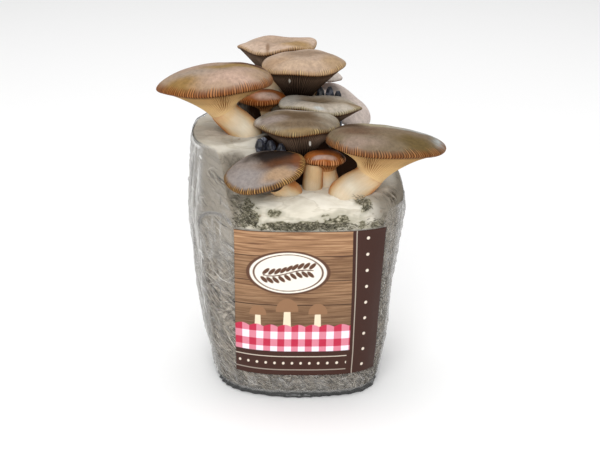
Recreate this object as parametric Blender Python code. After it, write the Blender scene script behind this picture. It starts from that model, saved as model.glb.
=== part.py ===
"""An oyster mushroom grow kit: a block of straw bound by mycelium in a clear film bag, with a printed paper
label on its front, and two clusters of king oyster mushrooms that grow from its uneven top.

The origin is the middle of the flat underside. +X is to the right of the label, -Y is the label's side and
+Z is up. All values are metres.
"""

import math

import bmesh
import bpy
from mathutils import Vector, noise

MM = 0.001

# ---- Driving dimensions ------------------------------------------------------------------------------------

GAP = 0.35 * MM  # between pieces that touch
FILM = 0.9 * MM  # the bag's film, thickened so that it is a solid
PAPER = 0.5 * MM

# Half width on each side and half depth of the block, by height.
WALL_HEIGHTS = (0, 7 * MM, 26 * MM, 50 * MM, 110 * MM, 170 * MM, 244 * MM)
HALF_WIDTH_LEFT = (74 * MM, 80 * MM, 83 * MM, 89 * MM, 98 * MM, 101 * MM, 97 * MM)
HALF_WIDTH_RIGHT = (72 * MM, 78 * MM, 82 * MM, 85 * MM, 91 * MM, 100 * MM, 99 * MM)
HALF_DEPTH = (76 * MM, 82 * MM, 85 * MM, 86.5 * MM, 88 * MM, 88 * MM, 86 * MM)
SQUARENESS_LEFT = 2.6  # exponents of the block's rounded-square plan
SQUARENESS_RIGHT = 3.6
WALL_LUMP_SIZE = 38 * MM
WALL_LUMPS = 1.2 * MM  # depth of the wall's unevenness, outside the label

PLATEAU = 242 * MM  # height of the top, at the back and left
FRONT_DROP = 42 * MM  # how far the top steps down towards the front right
STEP_WAY = (0.64, -0.77)  # the way that the step faces
STEP_START, STEP_LENGTH = 2 * MM, 30 * MM
BAY_MIDDLE = (-25 * MM, -82 * MM)  # the step has a bay under the tilted mushroom
BAY_HALF_WIDTH, BAY_HALF_DEPTH = 40 * MM, 36 * MM
RIGHT_DROP = 32 * MM  # how far the plateau falls along the back towards the right
FALL_START, FALL_LENGTH = -10 * MM, 60 * MM
LUMP_SIZE = 26 * MM
TOP_LUMPS = 2.5 * MM  # height of the lumps on the top
EDGE_HIGH = 3 * MM  # rounding of the top edge on the plateau
EDGE_LOW = 15 * MM  # and on the step
CRUST_BULGE = 5 * MM  # the bare crust over the label swells past the bag's cut edge

LABEL_BOTTOM = 26 * MM
LABEL_TOP = 170 * MM
LABEL_LEFT = -56 * MM  # the label's left edge, seen from the front
LABEL_RIGHT = 80 * MM  # it turns round the right corner and ends here
FILM_FRONT_TOP = 174 * MM  # the cut edge of the bag, over the label
FILM_PLATEAU_RISE = 5 * MM  # the bag stands this far past the foot of the plateau's rounded edge

COLUMNS = 36  # facets round the block
CAP_COLUMNS = {"large": 36, "middle": 26, "small": 18}  # every second one is a gill ridge
# How soon the gills turn down from the margin, and how late they meet the stem. Equal thirds are a cone.
FUNNEL = {"large": (0.12, 0.4), "middle": (0.3, 0.2), "small": (0.1, 0.4)}
STEM_COLUMNS = 10
STEM_RINGS = 6
PIN_COLUMNS = 6
LIP = 2.6 * MM  # depth of a cap's rolled margin

# Each mushroom, in millimetres and degrees. `foot` is where it stands on the block, `neck` is where the
# gills end on the stem, `rim` is the middle of the cap's rim and `size` its half length and half width. The
# cap is rolled to the right, pitched to the front and yawed to the left. `dome` is its height, `crown` how
# far along the half length its highest place lies, `hollow` the dip over the stem, `ripple` the rise and
# fall of the rim, and `stem` the radius of foot and neck.
MUSHROOMS = {
    "front_large": dict(
        foot=(40.5, -68), neck=(66, -60, 214), rim=(80.5, -63, 244.5), size=(54.5, 34),
        roll=3, pitch=2, yaw=-4, dome=14, crown=-0.3, hollow=0, ripple=0.8, stem=(15, 13.5), columns="large"),
    "front_middle": dict(
        foot=(1, -14), neck=(3, -24, 229), rim=(0, -29, 254), size=(40, 30), roll=1, pitch=3, yaw=0,
        dome=9, crown=0, hollow=0.5, ripple=1.2, stem=(13, 12), columns="middle"),
    "front_wavy": dict(
        foot=(17, 26), neck=(21, 28, 234), rim=(23, 27, 256.5), size=(40, 23), roll=3.5, pitch=2, yaw=0,
        dome=6, crown=-0.1, hollow=2, ripple=2.0, stem=(10, 9), columns="middle"),
    "front_young": dict(
        foot=(30, -43), neck=(28, -46, 216), rim=(25.5, -48, 226), size=(19.5, 14),
        roll=1, pitch=3, yaw=0, dome=8, crown=0, hollow=0, ripple=0.4, stem=(9, 8.2), columns="small"),
    "front_tilted": dict(
        foot=(-4, -64), neck=(-18, -75, 211), rim=(-29, -84, 225.5), size=(37.5, 28),
        roll=-12, pitch=22, yaw=8, dome=8, crown=0, hollow=1, ripple=1.0, stem=(11, 9.5), columns="middle"),
    "rear_large": dict(
        foot=(-42.5, -18), neck=(-67, -16, 262), rim=(-76, -8, 286), size=(54.5, 36), roll=-3, pitch=1, yaw=7,
        dome=17, crown=0.12, hollow=0, ripple=0.8, stem=(12.5, 13), columns="large"),
    "rear_middle": dict(
        foot=(2, 64), neck=(2, 66, 252), rim=(6.5, 45, 291.5), size=(40.5, 32), roll=-1, pitch=3, yaw=0,
        dome=11, crown=0, hollow=0.5, ripple=1.2, stem=(13, 13), columns="middle"),
    "rear_wavy": dict(
        foot=(-26, 66), neck=(-21, 83, 266), rim=(-20, 98, 298), size=(39.5, 23), roll=-2, pitch=3, yaw=0,
        dome=6, crown=0.1, hollow=2, ripple=2.2, stem=(10, 10), columns="middle"),
    "rear_young": dict(
        foot=(-34, 48), neck=(-33, 47, 247), rim=(-34, 45, 258), size=(24, 17), roll=0, pitch=4, yaw=0,
        dome=7.5, crown=0, hollow=0, ripple=0.4, stem=(9, 8), columns="small"),
    "rear_tilted": dict(
        foot=(31, 71), neck=(34, 82, 233.5), rim=(47.5, 91, 239), size=(32, 28), roll=46, pitch=20, yaw=0,
        dome=8, crown=0, hollow=1, ripple=1.0, stem=(8.5, 8), columns="middle"),
    "rear_small": dict(
        foot=(13, 80), neck=(15.5, 93, 261), rim=(25, 97, 269), size=(21, 13), roll=10, pitch=8, yaw=0,
        dome=4, crown=0, hollow=0, ripple=0.8, stem=(5, 5), columns="small"),
}
# A second, capless stem that has grown together with the front young one.
TWIN_STEM = dict(foot=(13.5, -50), top=(15, -52, 216), radius=8.4)

# Dark pins that stopped growing: foot (x, y), height, radius and lean (x, y) of each, in millimetres.
FRONT_PINS = (
    ((-31, -48), 27, 5.0, (-3, 0)),
    ((-23, -47), 31, 5.0, (-1, -1)),
    ((-15.5, -48), 36, 5.0, (1, -1)),
    ((-28, -41), 16, 4.5, (-3, 0)),
)
REAR_PINS = (
    ((23, 60), 41, 4.6, (0, -1)),
    ((31, 57), 48, 4.6, (1, -1)),
    ((39, 54), 49, 4.6, (1, 0)),
)

# ---- Materials ---------------------------------------------------------------------------------------------


def linear(hex_colour):
    """An sRGB hex colour as the linear values that a shader takes."""
    channels = (int(hex_colour[i : i + 2], 16) / 255 for i in (1, 3, 5))
    return tuple(c / 12.92 if c <= 0.04045 else ((c + 0.055) / 1.055) ** 2.4 for c in channels)


def make_material(name, hex_colour, roughness, alpha=1.0):
    material = bpy.data.materials.new(name)
    material.use_nodes = True
    shader = material.node_tree.nodes["Principled BSDF"]
    shader.inputs["Base Color"].default_value = (*linear(hex_colour), 1.0)
    shader.inputs["Roughness"].default_value = roughness
    shader.inputs["Metallic"].default_value = 0.0
    shader.inputs["Alpha"].default_value = alpha
    return material


# ---- The block's surface -----------------------------------------------------------------------------------


def smooth(t):
    """0 below 0, 1 above 1, and an even slope between."""
    t = min(max(t, 0.0), 1.0)
    return t * t * (3 - 2 * t)


def station(values, z):
    """The value at height z, on straight lines between WALL_HEIGHTS."""
    for low, high, a, b in zip(WALL_HEIGHTS, WALL_HEIGHTS[1:], values, values[1:]):
        if z <= high:
            return a + (b - a) * (z - low) / (high - low)
    return values[-1]


def polar(angle, radius, z):
    return Vector((radius * math.cos(angle), radius * math.sin(angle), z))


def plan_radius(angle, z):
    """Distance of the smooth wall from the block's middle line."""
    across, along = math.cos(angle), math.sin(angle)
    half_width = station(HALF_WIDTH_RIGHT if across > 0 else HALF_WIDTH_LEFT, z)
    power = SQUARENESS_RIGHT if across > 0 else SQUARENESS_LEFT
    squared = (abs(across) / half_width) ** power + (abs(along) / station(HALF_DEPTH, z)) ** power
    return squared ** (-1 / power)


def front_angle(x, z):
    """The angle at which the front wall is this far to the right, at height z."""
    low, high = (-math.pi, -math.pi / 2) if x < 0 else (-math.pi / 2, 0)
    for _ in range(40):
        middle = (low + high) / 2
        if plan_radius(middle, z) * math.cos(middle) < x:
            low = middle
        else:
            high = middle
    return (low + high) / 2


LABEL_END = front_angle(LABEL_RIGHT, LABEL_TOP)


def label_start(z):
    """The label's left edge is upright, so it turns about the block as the wall draws in."""
    return front_angle(LABEL_LEFT, min(z, LABEL_TOP))


def angles_at(z):
    """Evenly spaced columns, and one at each end of the label."""
    even = [-math.pi + 2 * math.pi * k / COLUMNS for k in range(COLUMNS)]
    return sorted([*even, label_start(z), LABEL_END])


TOP_ANGLES = angles_at(LABEL_TOP)  # above the label the columns stay upright


def inside_label(angle, z):
    """How far, in radians, an angle lies between the label's ends. The bag is cut away above there."""
    return min(angle - label_start(z), LABEL_END - angle) + 1e-6


def wall_radius(angle, z):
    """Distance of the block's uneven wall from its middle line."""
    radius = plan_radius(angle, z)
    lumps = noise.noise(polar(angle, radius, z) / WALL_LUMP_SIZE) * WALL_LUMPS
    return radius + lumps * smooth(-inside_label(angle, z) / 0.3) * smooth((z - 15 * MM) / (30 * MM))


def step_share(x, y):
    """0 on the plateau and 1 on the step at the front right and in its bay."""
    slope = smooth((STEP_WAY[0] * x + STEP_WAY[1] * y - STEP_START) / STEP_LENGTH)
    from_bay = math.hypot((x - BAY_MIDDLE[0]) / BAY_HALF_WIDTH, (y - BAY_MIDDLE[1]) / BAY_HALF_DEPTH)
    return max(slope, smooth((1.12 - from_bay) / 0.3))


def top_height(x, y):
    """Height of the block's top."""
    step = step_share(x, y)
    fall = smooth((x - FALL_START) / FALL_LENGTH)
    lumps = noise.noise(Vector((x, y, 0)) / LUMP_SIZE) * TOP_LUMPS
    return PLATEAU - FRONT_DROP * step - RIGHT_DROP * fall * (1 - step) + lumps


def edge_of(angle):
    """(radius of the wall under the top edge, rounding of the edge, height of the top there)"""
    radius = wall_radius(angle, 200 * MM)
    x, y = radius * math.cos(angle), radius * math.sin(angle)
    low_share = max(step_share(x, y), smooth((x - 40 * MM) / (30 * MM)))
    rounding = EDGE_HIGH + (EDGE_LOW - EDGE_HIGH) * low_share
    inner = 1 - rounding / radius
    return radius, rounding, top_height(x * inner, y * inner)


def crust_bulge(angle):
    """How far the bare crust swells, but not next to the film's upright cut edges."""
    return CRUST_BULGE * smooth(inside_label(angle, LABEL_TOP) / math.radians(20) - 0.25)


def wall_ring(z, out):
    return [polar(a, wall_radius(a, z) + out, z) for a in angles_at(z)]


def wall_rings(out, floor):
    """The wall from the underside up to the label's top edge."""
    return [wall_ring(z, out) for z in (floor, *WALL_HEIGHTS[1:-1])]


def block_top_rings(out):
    """The uncovered part of the wall, the rounded edge and the top."""
    cut = FILM_FRONT_TOP + MM
    rings = [wall_ring(cut, out)]
    for rise in (0.5, 1.0):
        ring = []
        for a in TOP_ANGLES:
            radius, rounding, top = edge_of(a)
            z = cut + (top - rounding - cut) * rise
            ring.append(polar(a, wall_radius(a, z) + crust_bulge(a) * smooth(rise * 1.6) + out, z))
        rings.append(ring)
    for curl in (math.radians(45), math.radians(90)):
        ring = []
        for a in TOP_ANGLES:
            radius, rounding, top = edge_of(a)
            radius = wall_radius(a, top - rounding) + crust_bulge(a) * math.cos(curl)
            reach = radius - rounding + (rounding + out) * math.cos(curl)
            ring.append(polar(a, reach, top - rounding + (rounding + out) * math.sin(curl)))
        rings.append(ring)
    for share in (0.8, 0.56, 0.3):
        ring = []
        for a in TOP_ANGLES:
            radius, rounding, top = edge_of(a)
            point = polar(a, (radius - rounding) * share, 0)
            point.z = top_height(point.x, point.y) + out
            ring.append(point)
        rings.append(ring)
    return rings


def film_top_rings(out):
    """The film's upper part. It follows the wall, and is squeezed low over the label, where it is cut."""
    cut = FILM_FRONT_TOP + MM
    rings = []
    for k in range(4):
        ring = []
        for a in TOP_ANGLES:
            radius, rounding, top = edge_of(a)
            foot = top - rounding
            past = FILM_PLATEAU_RISE if rounding < 2 * EDGE_HIGH else 1.5 * MM
            z = (cut, (cut + foot) / 2, foot, foot + past)[k]
            if inside_label(a, LABEL_TOP) > 0:
                z = LABEL_TOP + (FILM_FRONT_TOP - LABEL_TOP) * (k + 1) / 4
            ring.append(polar(a, wall_radius(a, z) + out, z))
        rings.append(ring)
    return rings


# ---- Making meshes and objects -----------------------------------------------------------------------------


def add_skin(mesh, rings, closed=True):
    """Triangles over rings of equal count. Skins over the same columns get the same diagonals."""
    loops = [[mesh.verts.new(p) for p in ring] for ring in rings]
    count = len(rings[0])
    for low, high in zip(loops, loops[1:]):
        for k in range(count if closed else count - 1):
            n = (k + 1) % count
            mesh.faces.new((low[k], low[n], high[n]))
            mesh.faces.new((low[k], high[n], high[k]))
    return loops


def add_tip(mesh, loop, point):
    """Close a ring with a fan to one point."""
    tip = mesh.verts.new(point)
    for k in range(len(loop)):
        mesh.faces.new((loop[k], loop[(k + 1) % len(loop)], tip))


def join_rows(mesh, row, other, closed=True):
    """A strip of faces between two rows of equal count."""
    for k in range(len(row) if closed else len(row) - 1):
        n = (k + 1) % len(row)
        mesh.faces.new((row[k], row[n], other[n], other[k]))


def add_object(name, mesh, material=None):
    bmesh.ops.recalc_face_normals(mesh, faces=mesh.faces)
    data = bpy.data.meshes.new(name)
    mesh.to_mesh(data)
    mesh.free()
    data.shade_smooth()
    data.set_sharp_from_angle(angle=math.radians(40))
    thing = bpy.data.objects.new(name, data)
    bpy.context.scene.collection.objects.link(thing)
    if material:
        data.materials.append(material)
    return thing


def as_cutter(thing):
    thing.hide_render = True
    thing.display_type = "WIRE"
    return thing


def combine(thing, other, operation):
    modifier = thing.modifiers.new(operation.title(), "BOOLEAN")
    modifier.object = other
    modifier.operation = operation


# ---- The block, its bag and the label ----------------------------------------------------------------------


def block_mesh(out, floor):
    mesh = bmesh.new()
    loops = add_skin(mesh, wall_rings(out, floor) + block_top_rings(out))
    add_tip(mesh, loops[-1], Vector((0, 0, top_height(0, 0) + out)))
    mesh.faces.new(loops[0])
    return mesh


def make_block():
    """Chopped straw that the mycelium has grown into one firm block, white and bare at the top."""
    return add_object("substrate_block", block_mesh(0, FILM + GAP), make_material("straw", "#a59c86", 0.9))


def make_block_cutter():
    """The block grown by the gap, which trims what stands on it."""
    return as_cutter(add_object("block_cutter", block_mesh(GAP, 0)))


def make_bag():
    """The film, as an outer and an inner skin that meet at its cut edge."""
    mesh = bmesh.new()
    outer = add_skin(mesh, wall_rings(GAP + FILM, 0) + film_top_rings(GAP + FILM))
    inner = add_skin(mesh, wall_rings(GAP, FILM) + film_top_rings(GAP))
    join_rows(mesh, outer[-1], inner[-1])
    mesh.faces.new(outer[0])
    mesh.faces.new(inner[0])
    return add_object("grow_bag", mesh, make_material("clear_film", "#cfcdc8", 0.15, alpha=0.35))


def make_label():
    """Paper stuck to the bag's front, bent round its right corner."""
    back, front = [], []
    for z in [z for z in WALL_HEIGHTS if LABEL_BOTTOM <= z <= LABEL_TOP]:
        reach = [(a, wall_radius(a, z) + FILM + 2 * GAP) for a in angles_at(z) if inside_label(a, z) > 0]
        back.append([polar(a, radius, z) for a, radius in reach])
        front.append([polar(a, radius + PAPER, z) for a, radius in reach])
    mesh = bmesh.new()
    front, behind = add_skin(mesh, front, closed=False), add_skin(mesh, back, closed=False)
    for end in (0, -1):
        join_rows(mesh, front[end], behind[end], closed=False)
        join_rows(mesh, [row[end] for row in front], [row[end] for row in behind], closed=False)
    return add_object("label", mesh, make_material("label_paper", "#8a6a50", 0.45))


# ---- Mushrooms ---------------------------------------------------------------------------------------------


def on_block(foot):
    """The place on the block's top at (x, y) millimetres."""
    x, y = foot[0] * MM, foot[1] * MM
    return Vector((x, y, top_height(x, y)))


def bezier(start, leave, arrive, end, t):
    s = 1 - t
    return start * s**3 + leave * (3 * s * s * t) + arrive * (3 * s * t * t) + end * t**3


def across_frame(direction, side):
    """Two directions across `direction`, the first as near to `side` as can be."""
    first = (side - direction * side.dot(direction)).normalized()
    return first, direction.cross(first)


class Mushroom:
    """The places and directions that a mushroom's cap and stem share."""

    def __init__(self, foot, neck, rim, size, roll, pitch, yaw, dome, crown, hollow, ripple, stem, columns):
        self.foot, self.neck, self.middle = on_block(foot), Vector(neck) * MM, Vector(rim) * MM
        self.half_length, self.half_width = size[0] * MM, size[1] * MM
        self.dome, self.hollow, self.ripple, self.crown = dome * MM, hollow * MM, ripple * MM, crown
        self.foot_radius, self.neck_radius = stem[0] * MM, stem[1] * MM
        self.columns = CAP_COLUMNS[columns]
        self.turn_down, self.meet_stem = FUNNEL[columns]
        self.up = Vector((math.sin(math.radians(roll)), -math.sin(math.radians(pitch)), 1)).normalized()
        ahead = Vector((math.cos(math.radians(yaw)), math.sin(math.radians(yaw)), 0))
        self.right, self.back = across_frame(self.up, ahead)
        self.neck_up = ((self.neck - self.foot).normalized() + self.up).normalized()
        self.turn = (size[0] * 7 + size[1] * 3) % 6.28  # starts each rim's ripple elsewhere

    def cap_point(self, angle, share, height):
        """A point at `share` of the way from the crown to the rim, `height` above the rim's plane."""
        wave = 1 + self.ripple / MM * 0.012 * math.sin(3 * angle + self.turn)
        x = self.half_length * (math.cos(angle) * share * wave + self.crown * (1 - share**2))
        y = self.half_width * math.sin(angle) * share * wave
        droop = self.ripple * math.sin(4 * angle + self.turn) * share**2
        return self.middle + self.right * x + self.back * y + self.up * (height + droop)

    def top_point(self, angle, share):
        """The cushion of the cap's skin, with the dip over its stem."""
        height = self.dome * (1 - share**2.8) ** 0.65
        return self.cap_point(angle, share, height - self.hollow * 2 * math.exp(-((share / 0.35) ** 2)))

    def gill_point(self, angle, share, ridge):
        """On the trumpet from the margin (share 0) down to the neck (share 1), raised by `ridge`."""
        side, far = across_frame(self.neck_up, self.right)
        start = self.cap_point(angle, 0.95, -LIP)
        outwards = side * math.cos(angle) + far * math.sin(angle)
        end = self.neck + self.neck_up * GAP + outwards * self.neck_radius
        drop = (start - end).dot(self.up)
        inward = (end - start) + self.up * drop
        leave = start + inward * 0.4 - self.up * drop * self.turn_down
        point = bezier(start, leave, end + self.neck_up * drop * self.meet_stem, end, share)
        outward = (-inward.normalized() * share - self.up * (1 - share)).normalized()
        return point + outward * ridge * math.sin(math.pi * share)

    def stem_point(self, share):
        """The stem's middle line: straight up out of the block, then round to the cap's neck."""
        sunk = self.foot - Vector((0, 0, self.foot_radius * 0.95))
        length = (self.neck - sunk).length
        leave = sunk + Vector((0, 0, 1)) * length * 0.3
        return bezier(sunk, leave, self.neck - self.neck_up * length * 0.3, self.neck, share)


def make_cap(name, shape, material):
    """A fleshy cap with gill ridges that run down towards its stem."""
    angles = [2 * math.pi * k / shape.columns for k in range(shape.columns)]
    small = shape.columns == CAP_COLUMNS["small"]
    ridge = 0.035 * shape.half_width
    rings = []
    for share in (1.0, 0.6, 0.25) if small else (1.0, 0.7, 0.42, 0.18):
        rings.append([shape.gill_point(a, share, ridge * (k % 2)) for k, a in enumerate(angles)])
    rings.append([shape.cap_point(a, 0.985 - 0.02 * (k % 2), -LIP) for k, a in enumerate(angles)])
    rings.append([shape.cap_point(a, 1.0 - 0.015 * (k % 2), 0) for k, a in enumerate(angles)])
    for share in (0.86, 0.5) if small else (0.93, 0.72, 0.38):
        rings.append([shape.top_point(a, share) for a in angles])
    mesh = bmesh.new()
    loops = add_skin(mesh, rings)
    add_tip(mesh, loops[-1], shape.top_point(0, 0))
    mesh.faces.new(loops[0])
    return add_object("cap_" + name, mesh, material)


def trunk_mesh(line, radii, last_direction, side):
    """A solid round trunk along a line of points."""
    rings = []
    for k, middle in enumerate(line):
        direction = (line[min(k + 1, len(line) - 1)] - line[max(k - 1, 0)]).normalized()
        if k == len(line) - 1:
            direction = last_direction
        first, second = across_frame(direction, side)
        ring = []
        for c in range(STEM_COLUMNS):
            a = 2 * math.pi * c / STEM_COLUMNS
            ring.append(middle + (first * math.cos(a) + second * math.sin(a)) * radii[k])
        rings.append(ring)
    mesh = bmesh.new()
    loops = add_skin(mesh, rings)
    mesh.faces.new(loops[0])
    mesh.faces.new(loops[-1])
    return mesh


def make_stem(name, shape, block_cutter, material):
    """A firm stem, thickest low down, trimmed where it grows out of the block."""
    shares = [k / (STEM_RINGS - 1) for k in range(STEM_RINGS)]
    line = [shape.stem_point(s) for s in shares]
    taper = shape.neck_radius - shape.foot_radius
    swell = [math.sin(math.pi * min(s * 1.25, 1)) * 0.08 * shape.foot_radius for s in shares]
    radii = [shape.foot_radius + taper * smooth(s) + extra for s, extra in zip(shares, swell)]
    stem = add_object("stem_" + name, trunk_mesh(line, radii, shape.neck_up, shape.right), material)
    if name == "front_young":
        combine(stem, as_cutter(make_twin_stem()), "UNION")
    combine(stem, block_cutter, "DIFFERENCE")
    return stem


def make_twin_stem():
    """A second, capless stem that has grown together with the front young one."""
    foot, top, radius = on_block(TWIN_STEM["foot"]), Vector(TWIN_STEM["top"]) * MM, TWIN_STEM["radius"] * MM
    foot.z -= radius
    line = [foot.lerp(top, s) for s in (0, 0.35, 0.7, 0.9, 1)]
    radii = [radius * s for s in (0.95, 1.1, 1.0, 0.75, 0.3)]
    return add_object("twin_stem", trunk_mesh(line, radii, (top - foot).normalized(), Vector((1, 0, 0))))


def pin_mesh(foot, height, radius, lean):
    """One pin: a stalk that narrows and then swells into a small head."""
    base = on_block(foot) - Vector((0, 0, 4 * MM))
    tip = base + Vector((lean[0], lean[1], height + 4)) * MM
    rings = []
    for share, swell in ((0.0, 1.2), (0.45, 0.95), (0.62, 0.75), (0.8, 1.0), (0.93, 0.7)):
        middle = base.lerp(tip, share)
        ring = []
        for c in range(PIN_COLUMNS):
            a = 2 * math.pi * c / PIN_COLUMNS
            ring.append(middle + Vector((math.cos(a), math.sin(a), 0)) * radius * MM * swell)
        rings.append(ring)
    mesh = bmesh.new()
    loops = add_skin(mesh, rings)
    add_tip(mesh, loops[-1], tip)
    mesh.faces.new(loops[0])
    return mesh


def make_pins(name, rows, block_cutter, material):
    """Dark pins that have grown together at their feet."""
    pins = add_object(name, pin_mesh(*rows[0]), material)
    for number, row in enumerate(rows[1:], start=2):
        combine(pins, as_cutter(add_object(f"{name}_part_{number}", pin_mesh(*row))), "UNION")
    combine(pins, block_cutter, "DIFFERENCE")


def main():
    for thing in list(bpy.data.objects):
        bpy.data.objects.remove(thing, do_unlink=True)
    make_block()
    block_cutter = make_block_cutter()
    make_bag()
    make_label()
    cap_skin = make_material("cap_skin", "#9c8671", 0.5)
    stem_flesh = make_material("stem_flesh", "#d8c6a4", 0.6)
    for name, values in MUSHROOMS.items():
        shape = Mushroom(**values)
        make_cap(name, shape, cap_skin)
        make_stem(name, shape, block_cutter, stem_flesh)
    dried = make_material("dried_pins", "#3b3a40", 0.7)
    make_pins("pins_front", FRONT_PINS, block_cutter, dried)
    make_pins("pins_rear", REAR_PINS, block_cutter, dried)


main()
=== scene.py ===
"""The looks of an oyster mushroom grow kit: a straw block in a clear film bag with a printed paper label, and
two clusters of king oyster mushrooms on its top.
"""

import math

import bpy
import numpy as np
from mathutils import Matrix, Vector, noise


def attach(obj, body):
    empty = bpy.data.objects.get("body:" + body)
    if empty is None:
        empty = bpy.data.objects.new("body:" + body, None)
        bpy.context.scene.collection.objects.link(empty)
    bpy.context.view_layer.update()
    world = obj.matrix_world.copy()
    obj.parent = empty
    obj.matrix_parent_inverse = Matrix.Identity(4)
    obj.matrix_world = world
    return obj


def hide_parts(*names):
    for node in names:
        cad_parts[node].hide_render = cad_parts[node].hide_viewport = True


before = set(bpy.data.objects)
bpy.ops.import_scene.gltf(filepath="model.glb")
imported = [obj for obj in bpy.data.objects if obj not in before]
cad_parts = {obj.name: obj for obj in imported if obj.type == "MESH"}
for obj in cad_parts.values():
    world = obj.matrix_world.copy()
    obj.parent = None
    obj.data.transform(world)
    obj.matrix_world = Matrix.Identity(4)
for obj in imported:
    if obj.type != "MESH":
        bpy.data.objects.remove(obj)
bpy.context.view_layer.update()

bpy.ops.object.select_all(action="DESELECT")

# ---- Substrate block -------------------------------------------------------------------------------------
# Chopped straw that white mycelium has grown into one firm block. It was pressed into its bag, so the wall is
# even, and the bare top is a soft cream crust that steps down towards the front right.

MM = 0.001
FILM, GAP = 0.9 * MM, 0.35 * MM
WALL_HEIGHTS = np.array((0, 7, 26, 50, 110, 170, 244)) * MM
HALF_WIDTH_LEFT = np.array((74, 80, 83, 89, 98, 101, 97)) * MM
HALF_WIDTH_RIGHT = np.array((72, 78, 82, 85, 91, 100, 99)) * MM
HALF_DEPTH = np.array((76, 82, 85, 86.5, 88, 88, 86)) * MM
SQUARENESS_LEFT, SQUARENESS_RIGHT = 2.6, 3.6
WALL_LUMP_SIZE, WALL_LUMPS = 38 * MM, 1.2 * MM
PLATEAU, FRONT_DROP, RIGHT_DROP = 242 * MM, 42 * MM, 32 * MM
STEP_WAY, STEP_START, STEP_LENGTH = (0.64, -0.77), 2 * MM, 30 * MM  # the top steps down this way
BAY_MIDDLE, BAY_HALF_WIDTH, BAY_HALF_DEPTH = (-25 * MM, -82 * MM), 40 * MM, 36 * MM
FALL_START, FALL_LENGTH = -10 * MM, 60 * MM
LUMP_SIZE, TOP_LUMPS = 26 * MM, 2.5 * MM
EDGE_HIGH, EDGE_LOW, CRUST_BULGE = 3 * MM, 15 * MM, 5 * MM
LABEL_LEFT, LABEL_RIGHT = -56 * MM, 80 * MM
LABEL_BOTTOM, LABEL_TOP = 26 * MM, 170 * MM
FILM_FRONT_TOP = 174 * MM
BLOCK_FLOOR = FILM + GAP


def smooth(t):
    """0 below 0, 1 above 1, and an even slope between."""
    t = np.clip(t, 0.0, 1.0)
    return t * t * (3 - 2 * t)


def lumps(points, size):
    """Soft noise from about -0.7 to 0.7 at each point, with lumps of that size."""
    return np.array([noise.noise(p) for p in (points / size).tolist()])


def polar(angle, radius, z):
    """Points at those angles and distances from the block's middle line."""
    return np.stack(np.broadcast_arrays(radius * np.cos(angle), radius * np.sin(angle), z), axis=-1)


def plan_radius(angle, z):
    """Distance of the even wall from the block's middle line."""
    across, along = np.cos(angle), np.sin(angle)
    left, right = (np.interp(z, WALL_HEIGHTS, half) for half in (HALF_WIDTH_LEFT, HALF_WIDTH_RIGHT))
    power = np.where(across > 0, SQUARENESS_RIGHT, SQUARENESS_LEFT)
    half_width = np.where(across > 0, right, left)
    half_depth = np.interp(z, WALL_HEIGHTS, HALF_DEPTH)
    squared = (abs(across) / half_width) ** power + (abs(along) / half_depth) ** power
    return squared ** (-1 / power)


def front_angle(x, z):
    """The angle at which the front wall is this far to the right, at height z."""
    low = np.full(np.shape(z), -math.pi if x < 0 else -math.pi / 2)
    high = low + math.pi / 2
    for _ in range(30):
        middle = (low + high) / 2
        too_low = plan_radius(middle, z) * np.cos(middle) < x
        low, high = np.where(too_low, middle, low), np.where(too_low, high, middle)
    return (low + high) / 2


LABEL_END = front_angle(LABEL_RIGHT, LABEL_TOP)


def inside_label(angle, z):
    """How far, in radians, an angle lies between the label's ends. The bag is cut away above there."""
    return np.minimum(angle - front_angle(LABEL_LEFT, np.minimum(z, LABEL_TOP)), LABEL_END - angle)


def wall_radius(angle, z):
    """Distance of the block's uneven wall from its middle line."""
    radius = plan_radius(angle, z)
    rise = lumps(polar(angle, radius, z).reshape(-1, 3), WALL_LUMP_SIZE).reshape(np.shape(radius))
    free = smooth(-inside_label(angle, z) / 0.3) * smooth((z - 15 * MM) / (30 * MM))
    return radius + rise * WALL_LUMPS * free


def step_share(x, y):
    """0 on the plateau and 1 on the step at the front right and in its bay."""
    slope = smooth((STEP_WAY[0] * x + STEP_WAY[1] * y - STEP_START) / STEP_LENGTH)
    from_bay = np.hypot((x - BAY_MIDDLE[0]) / BAY_HALF_WIDTH, (y - BAY_MIDDLE[1]) / BAY_HALF_DEPTH)
    return np.maximum(slope, smooth((1.12 - from_bay) / 0.3))


def top_height(x, y):
    """Height of the block's top."""
    step, fall = step_share(x, y), smooth((x - FALL_START) / FALL_LENGTH)
    rise = lumps(np.stack([x, y, x * 0], axis=-1).reshape(-1, 3), LUMP_SIZE).reshape(np.shape(x)) * TOP_LUMPS
    return PLATEAU - FRONT_DROP * step - RIGHT_DROP * fall * (1 - step) + rise


def edge_of(angle):
    """(rounding of the top edge, height of the rounding's foot)"""
    radius = wall_radius(angle, 200 * MM)
    x, y = radius * np.cos(angle), radius * np.sin(angle)
    low_share = np.maximum(step_share(x, y), smooth((x - 40 * MM) / (30 * MM)))
    rounding = EDGE_HIGH + (EDGE_LOW - EDGE_HIGH) * low_share
    inner = 1 - rounding / radius
    return rounding, top_height(x * inner, y * inner) - rounding


def face_outwards(merge):
    """Turn the active piece's faces outwards, after its seams and poles are merged if `merge` says so."""
    bpy.ops.object.mode_set(mode="EDIT")
    bpy.ops.mesh.select_all(action="SELECT")
    if merge:
        bpy.ops.mesh.remove_doubles(threshold=1e-6)
    bpy.ops.mesh.normals_make_consistent(inside=False)
    bpy.ops.object.mode_set(mode="OBJECT")


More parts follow.
